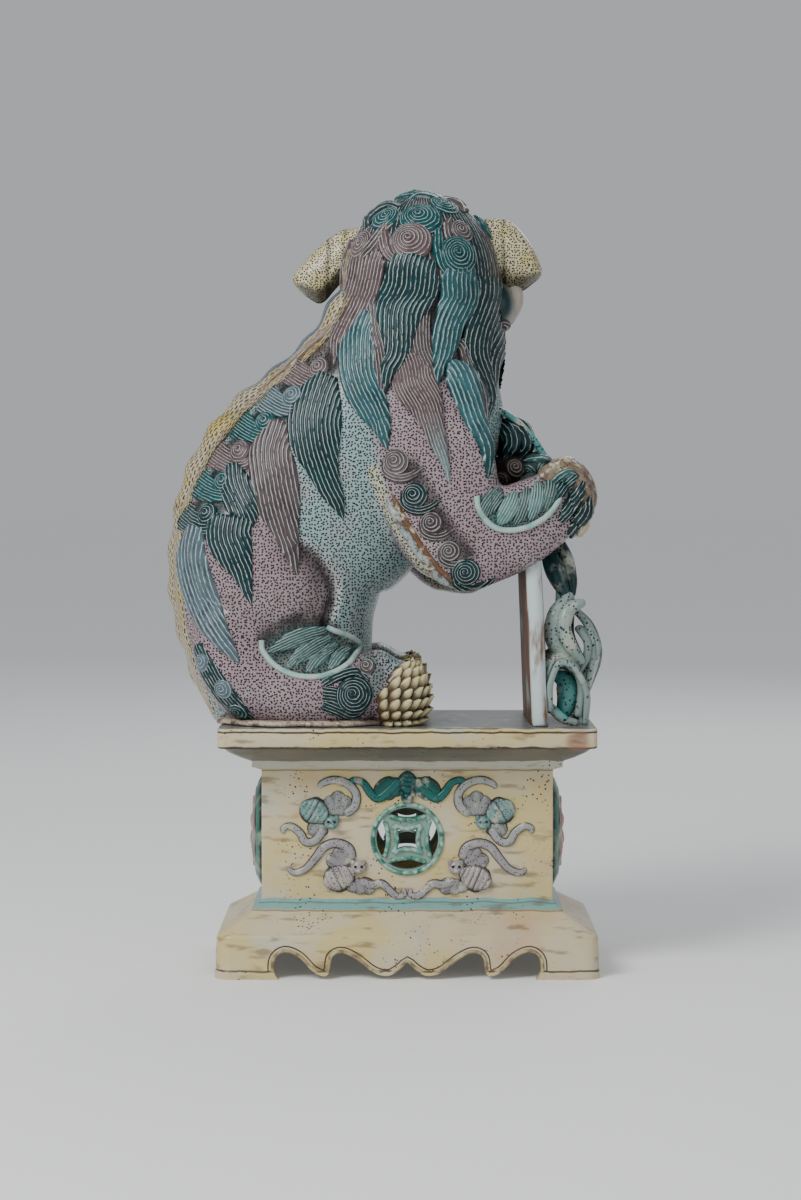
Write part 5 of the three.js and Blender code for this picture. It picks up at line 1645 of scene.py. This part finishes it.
# The arm ridges: a flat fillet of clay down the back edge of each upper arm, glazed pale blue, with a brown
# line beside it where the glaze has run thin.
ARM_RIDGE = [[-12.2, 279.5], [-3, 262.3], [7.3, 246.2], [17.7, 233.6], [26.8, 226.7]]
RIDGE_BEADS = ((0.0, 2.6, tone(140, 152, 152)), (3.4, 1.4, tone(104, 70, 42)))  # shift, radius, tint
RIDGE_LEAST = 0.2
arm_ridges = Clay()
for side in (-1, 1):
    for shift, radius, tint in RIDGE_BEADS:
        run = flow(ARM_RIDGE, 2.0)[0] + [shift * 0.85, shift * 0.5]
        stations = []
        for k, (x, z) in enumerate(run):
            place, _ = settled(np.array([x, 0, z]), -side * Y_AXIS, FIRST_DEPTH)
            thin = RIDGE_LEAST + radius * smooth_step(min(k, len(run) - 1 - k), -0.5, 3.0)
            stations.append([*place, thin, thin * 0.8])
        arm_ridges.shell(limb(stations, sides=14), tint=tint)
ride(arm_ridges.piece("arm_ridges", toe_glaze), "lion_glaze")

# The hind toes: overlapping scales like an artichoke's, each pressed on by itself from the claws upwards.
# One tree sets a scale on every point laid over the paws, its face outward and its tip up the paw.
SCALE_ROOT = -4.5
SCALE_LENGTH = 10.5
SCALE_HALF = 2.9
SCALE_SUNK = -1.6
root_tone, tip_tone, edge_tone = tone(70, 54, 34), tone(206, 194, 148), tone(46, 36, 28)
w = np.linspace(-1, 1, 9)
edge = smooth_step(np.abs(np.append(w, [1, 1])), 0.6, 0.9)[:, None]
scale_rings = []
scale_tints = []
for t in np.linspace(0, 1, 12):
    half = SCALE_HALF * math.sqrt(max(math.sin(math.pi * min(0.12 + 0.86 * t, 1)), 0.02))
    lift = 0.3 + 2.6 * t**1.3 * (1 - 0.6 * w**2) + 0.5 * (1 - w**2)
    top = np.stack([np.full(len(w), SCALE_ROOT + SCALE_LENGTH * t), w * half, lift], -1)
    base = np.array([[SCALE_ROOT + 10 * t, way * half * 0.7, SCALE_SUNK] for way in (1, -1)])
    scale_rings.append(np.concatenate([top, base]))
    paint = root_tone + (tip_tone - root_tone) * smooth_step(t, 0.3, 0.75)
    scale_tints.append(paint + (edge_tone - paint) * edge)
scale_clay = Clay()
scale_clay.shell(np.array(scale_rings), tint=np.array(scale_tints))
scale = scale_clay.piece("scale")
scale.data.vertices.foreach_set("co", packed(read_rows(scale.data.vertices, "co") - PLINTH_MIDDLE))


def scale_tree():
    """A scale on every point of a paw, turned by the point's two ways and sized at random."""
    tree = bpy.data.node_groups.new("scales_on_points", "GeometryNodeTree")
    for name, kind in (("Paw", "Geometry"), ("Scale", "Object"), ("Glaze", "Material"), ("Seed", "Int")):
        tree.interface.new_socket(name, in_out="INPUT", socket_type="NodeSocket" + kind)
    tree.interface.new_socket("Scales", in_out="OUTPUT", socket_type="NodeSocketGeometry")
    given = tree.nodes.new("NodeGroupInput").outputs
    scale_shape = node(tree, "GeometryNodeObjectInfo", {"Object": given["Scale"]}).outputs["Geometry"]
    points = node(tree, "GeometryNodeMeshToPoints", {"Mesh": given["Paw"]}).outputs["Points"]
    read = {}
    for name in ("outward", "upward"):
        found = node(tree, "GeometryNodeInputNamedAttribute", {"Name": name}, data_type="FLOAT_VECTOR")
        read[name] = found.outputs["Attribute"]
    facing = node(tree, "FunctionNodeAlignRotationToVector", {"Vector": read["outward"]}, axis="Z")
    tip_up = {"Rotation": facing.outputs[0], "Vector": read["upward"]}
    turn = node(tree, "FunctionNodeAlignRotationToVector", tip_up, axis="X", pivot_axis="Z").outputs[0]
    sizes = {2: 1.0, 3: 1.2, "Seed": given["Seed"]}
    size = node(tree, "FunctionNodeRandomValue", sizes, data_type="FLOAT").outputs[1]
    laying = {"Points": points, "Instance": scale_shape, "Rotation": turn, "Scale": size}
    placed_scales = node(tree, "GeometryNodeInstanceOnPoints", laying).outputs["Instances"]
    real = node(tree, "GeometryNodeRealizeInstances", {"Geometry": placed_scales}).outputs["Geometry"]
    glazed = node(tree, "GeometryNodeSetMaterial", {"Geometry": real, "Material": given["Glaze"]})
    out = tree.nodes.new("NodeGroupOutput")
    tree.links.new(glazed.outputs["Geometry"], out.inputs["Scales"])
    return tree


SCALE_ROWS_DEG = [-45, -29, -13, 3, 19, 35, 50]
SCALE_REACH_DEG = 118
SCALE_LEAN = np.array([0.8, 0.0, 1.0])


def paw_points():
    """Points over the front of both hind paws, each with its outward and upward ways."""
    places = []
    outward = []
    upward = []
    reach = np.radians(SCALE_REACH_DEG)
    for side in (-1, 1):
        x, y, z, *radii = HIND_PAW
        centre = np.array([x, -side * y, z])
        for row, steep in enumerate(np.radians(SCALE_ROWS_DEG)):
            for turn in np.linspace(-reach, reach, 12 if row % 2 else 13):
                level = math.cos(steep)
                way = np.array([level * math.cos(turn), level * math.sin(turn), math.sin(steep)])
                place, slope = laid(centre + way * radii, way)
                lifted = unit(unit(slope) + way)
                if place[2] < SEAT + 0.5 or place[0] < -20 + (place[2] - 154) * 0.53:
                    continue
                places.append(place)
                outward.append(lifted)
                upward.append(unit(SCALE_LEAN - lifted * np.dot(SCALE_LEAN, lifted)))
    mesh = bpy.data.meshes.new("paw_points")
    mesh.from_pydata([tuple(p) for p in placed(places)], [], [])
    for name, ways in (("outward", outward), ("upward", upward)):
        mesh.attributes.new(name, "FLOAT_VECTOR", "POINT").data.foreach_set("vector", np.array(ways).ravel())
    return mesh


hind_scales = modelled(scale_tree(), "hind_toes", paw_points(), Scale=scale, Glaze=horn, Seed=4)
bpy.data.objects.remove(scale)
ride(hind_scales, "lion_glaze")

# The pad: a thin, wavy sole of clay under the seat and the hind legs, glazed cream and pink. It was rolled
# out and luted to the slab.
PAD_RINGS = ((0.4, 0.1), (1.0, 0.1), (1.012, 1.2), (1.0, 2.6), (0.96, 3.4), (0.5, 3.6))  # share, height
PAD_MIDDLE_X = -59
PAD_HALF = (54, 58)
turn = np.linspace(0, 2 * math.pi, 181)[:-1]
wave = 1.1 * np.sin(9 * turn) + 0.8 * np.sin(17 * turn + 1.3) + 0.5 * np.sin(31 * turn)
bend = (np.abs(np.cos(turn)) ** 3 + np.abs(np.sin(turn)) ** 3) ** (-1 / 3)
rings = []
for share, height in PAD_RINGS:
    wavy = wave * (share > 0.9)
    x = PAD_MIDDLE_X + (PAD_HALF[0] * share + wavy) * bend * np.cos(turn)
    y = (PAD_HALF[1] * share + wavy) * bend * np.sin(turn)
    rings.append(np.stack([x, y, np.full(len(turn), SEAT + height)], -1))
pad = Clay()
pad.shell(np.array(rings), tint=tone(176, 158, 142))
ride(pad.piece("pad", toe_glaze), "lion_glaze")

# The strut: an upright board under the forepaws that held them in the kiln, celadon with brown runs and a
# brown back. It is laid as the ribbons are, as a flat band through stations.
STRUT = [[77.5, 2, 146.1, 0, 112], [77, 2, 150, 0, 112], [75, 2, 200, 0, 108], [72.5, 2, 256, 0, 94]]
STRUT_THICK = 11.5
STRUT_COLUMNS = 41


def ribbon(clay, stations, thick, tint, rim=0.0, columns=17):
    """A flat band through [x, y, z, turn of its width from the Y axis in degrees, width], rimmed or plain."""
    run, _ = flow(stations, 1.8, 3)
    centre = run[:, :3]
    ahead = unit(np.gradient(centre, axis=0))
    flat = unit(Y_AXIS - ahead * ahead[:, 1:2])
    turn = np.radians(run[:, 3:4])
    over = flat * np.cos(turn) + np.cross(ahead, flat) * np.sin(turn)
    out = np.cross(ahead, over)
    w = np.linspace(-1, 1, columns)
    raised = rim * smooth_step(np.abs(w), 0.72, 0.86) * smooth_step(np.abs(w), 1.02, 0.9)
    sides = []
    for way, offsets in ((1, w), (-1, w[::-1])):
        lift = way * (thick / 2 * (1 - 0.3 * np.abs(offsets) ** 6) + (raised if way > 0 else raised[::-1]))
        sideways = over[:, None] * (run[:, 4:5] / 2 * offsets)[..., None]
        sides.append(centre[:, None] + sideways + out[:, None] * lift[:, None])
    rings = np.concatenate(sides, axis=1)
    line = smooth_step(np.abs(w), 0.5, 0.7) * smooth_step(np.abs(w), 0.88, 0.76)
    shade = np.concatenate([line, line])[:, None]
    tints = np.asarray(tint) * (1 - 0.88 * (shade if rim else 0))
    rings[..., 2] = np.maximum(rings[..., 2], SEAT + 0.1)
    clay.shell(rings, tint=np.broadcast_to(tints, rings.shape))


strut = Clay()
column = np.arange(2 * STRUT_COLUMNS)
behind = (column > 1) & (column < STRUT_COLUMNS - 2)
strut_tint = np.where(behind[:, None], tone(92, 62, 46), tone(186, 198, 196))
ribbon(strut, STRUT, STRUT_THICK, strut_tint, columns=STRUT_COLUMNS)


def strut_glaze():
    """A dull glaze with brown runs down it and pools of celadon."""
    glaze = Glaze("strut_glaze", 0.6, 0.0)
    runs = glaze.step(glaze.noise(80, 4, (1, 1, 0.22)), 0.52, 0.62)
    colour = glaze.over(runs, glaze.tint, tone(112, 80, 58))
    colour = glaze.over(glaze.patches(26, 2, 0.55, 0.75), colour, tone(150, 178, 172))
    return glaze.finish(colour, glaze.noise(300), 0.0002)


ride(strut.piece("strut", strut_glaze()), "lion_glaze")

# The ribbons: flat bands from the bow to the slab beside the strut, with raised rims and edges rolled into
# scrolls and leaves, in celadon with black florets.
RIBBON_THICK = 2.6
RIBBON_RIM = 0.9
BAND = tone(132, 150, 144)
RIBBONS = [
    ([[42, 2, 334, 0, 30], [58, 0, 328.5, 0, 32], [72, 0, 316.5, 0, 30], [84, 0, 299, 0, 26]], TURQUOISE),
    ([[86, -14, 258, 20, 16], [92, -22, 236, 30, 16], [93, -26, 216, 40, 16], [92, -28, 198, 50, 16],
      [98, -30, 184, 40, 16], [104, -30, 172, 30, 16]], BAND),
    ([[98, -20, 214, 0, 16], [108, -24, 202, 10, 18], [111, -26, 186, 20, 18], [107, -24, 168, 10, 18],
      [100, -20, 150, 0, 20]], BAND),
    ([[79, -40, 156, 20, 24], [78, -44, 172, 30, 24], [86, -46, 186, 20, 24], [97, -44, 182, 10, 22],
      [104, -38, 166, 0, 22], [104, -32, 148, 0, 24]], BAND),
    ([[88, 14, 256, 0, 20], [98, 20, 226, 10, 22], [94, 26, 196, -10, 22], [104, 26, 170, 0, 22],
      [102, 24, 147, 0, 22]], BAND),
    ([[80, 34, 147, 10, 20], [84, 38, 168, 0, 20], [98, 40, 172, 0, 20],
      [106, 40, 148, 0, 20]], TURQUOISE * 0.8),
]
ROLLS = [  # rolled edges of the ribbons as [x, y, z, radius], and the leaves above them
    ([[102, -36, 217, 3], [94.6, -39, 213.5, 4.2], [91.2, -41, 203.3, 4.4], [94.6, -41, 193.1, 4.2],
      [101.4, -38, 183, 3]], BAND),
    ([[95, -34, 221, 3], [86.6, -38, 211, 4.4], [84.6, -40, 198.5, 4.6], [88, -40, 189.7, 4.2],
      [96.3, -37, 185, 3]], BAND),
    ([[101, -30, 202, 2], [109, -30, 197, 2.6], [111, -30, 188, 2.8], [106.5, -30, 179, 2.4],
      [103, -30, 168, 2]], BAND),
    ([[100, -34, 202, 2], [105.5, -35, 194, 2.4], [105, -35, 185, 2.4], [101.5, -34, 178, 2]], BAND * 0.8),
    ([[98, -45, 147.5, 2.2], [89.5, -46, 150, 2.4], [82.7, -47, 157.4, 2.4], [77, -47, 166, 2.4],
      [75, -47, 174.4, 2.4], [79.6, -47, 181, 2.4], [89.5, -47, 183.4, 2.4], [98, -46, 177.8, 2.4],
      [101.4, -45, 167.6, 2.4], [99.7, -44, 152.2, 2.2]], BAND * 0.85),
    ([[74.5, -46, 147.5, 2.4], [74.8, -47, 154, 2.8], [77, -47, 162, 2.4], [84, -46, 156, 2.6],
      [92, -46, 149.5, 2.2]],
     TURQUOISE),
    ([[84, -38, 176, 2], [92, -39, 172, 6], [94, -39, 163, 6.5], [92, -39, 154, 5]], TURQUOISE * 0.7),
    ([[82, -26, 250, 4], [86, -30, 238, 6], [90, -32, 228, 5], [95, -34, 219, 2]], DEEP_TEAL * 0.7),
    ([[88, -22, 254, 4], [93, -26, 242, 5], [96, -30, 230, 4], [97, -32, 222, 2]], DEEP_TEAL * 0.5),
]
ribbons = Clay()
for stations, tint in RIBBONS:
    ribbon(ribbons, stations, RIBBON_THICK, tint, rim=RIBBON_RIM)
for stations, tint in ROLLS:
    ribbons.shell(limb([[x, y, z, r, r] for x, y, z, r in stations], sides=18), tint=tint)


def ribbon_glaze():
    """Celadon with black florets and brown in the folds."""
    glaze = Glaze("ribbon_glaze", 0.28)
    colour = glaze.over(glaze.patches(70, 3, 0.5, 0.7), glaze.tint, tone(176, 180, 164))
    florets = glaze.times(glaze.spots(460, 0.24, 0.4, 0.9), glaze.patches(130, 2, 0.38, 0.5))
    return glaze.finish(glaze.over(florets, colour, INK), glaze.noise(300), 0.0002)


ride(ribbons.piece("ribbons", ribbon_glaze()), "lion_glaze")

# The ball: a brocade ball under the forepaws, with crossed bands in low relief. It was pressed in two halves
# and luted, and has the ribbons' glaze over dark teal.
BALL = [79, 0, 275, 27]
BALL_STRANDS = 6
fall = np.linspace(0.03, math.pi - 0.03, 90)[:, None]
turn = np.linspace(0, 2 * math.pi, 181)[:-1]
lattice = np.maximum(np.cos(BALL_STRANDS * (fall + turn)), np.cos(BALL_STRANDS * (fall - turn)))
radius = BALL[3] - 1.4 + 1.3 * smooth_step(lattice, 0.55, 0.85)
ball_rings = np.stack([
    BALL[0] + radius * np.sin(fall) * np.cos(turn),
    BALL[1] + radius * np.sin(fall) * np.sin(turn),
    BALL[2] + radius * np.cos(fall),
], -1)
band_share = smooth_step(lattice, 0.5, 0.8)[..., None]
ball = Clay()
ball.shell(ball_rings, tint=DEEP_TEAL * 0.5 + (tone(70, 84, 76) - DEEP_TEAL * 0.5) * band_share)
ride(ball.piece("ball", ribbon_glaze()), "lion_glaze")

# The bow: folds of the collar's ribbon tied under the chin, combed in teal over brown. Its ends are curled
# and pressed on.
# The dark teal and dark brown folds are grown to fill the knot's gaps: they are folds of the bow, and also a
# dark backing of painted shade.
BOW = [
    ([63, -2, 312], [12, 15, 13.5], DEEP_TEAL * 0.6), ([61, -4, 294], [11, 17, 12], tone(60, 44, 38)),
    ([77, -5, 298], [10, 16, 8], tone(84, 96, 92)),
]
BOW_LOCKS = [
    ([[52.5, 321, 4], [59, 320, 10], [62, 311, 10], [57, 301, 2]], DEEP_TEAL * 1.3),
    ([[58, 325, 3], [67, 320, 9], [71, 311, 9], [67, 301, 2]], DEEP_TEAL),
    ([[69, 300, 2], [76, 301, 5], [83, 300, 5], [88, 297, 1.5]], TURQUOISE * 0.5),
]
BOW_CURLS = [
    (64, 296, 6, tone(96, 76, 70)), (56.5, 289, 5.2, tone(88, 70, 62)), (73, 294, 4.4, TURQUOISE * 0.5),
    (81, 296, 4.4, TURQUOISE * 0.6),
]
bow = Clay()
for at, radii, tint in BOW:
    bow.shell(egg(at, radii, sides=36), across=0.5, tint=tint)
bow_form = bow.piece("bow_form")
bow_tree = skin_tree(skin_of(bow_form)[0], bow_form)
bpy.data.objects.remove(bow_form)
for side, side_view in SIDES:
    for stations, tint in BOW_LOCKS:
        lock(bow, stations, side_view, tint, thick=2.2, lift=0.6, tree=bow_tree)
    for x, z, radius, tint in BOW_CURLS:
        side_curl(bow, x, z, radius, side, tint, tree=bow_tree)
ride(bow.piece("bow", hair), "lion_glaze")
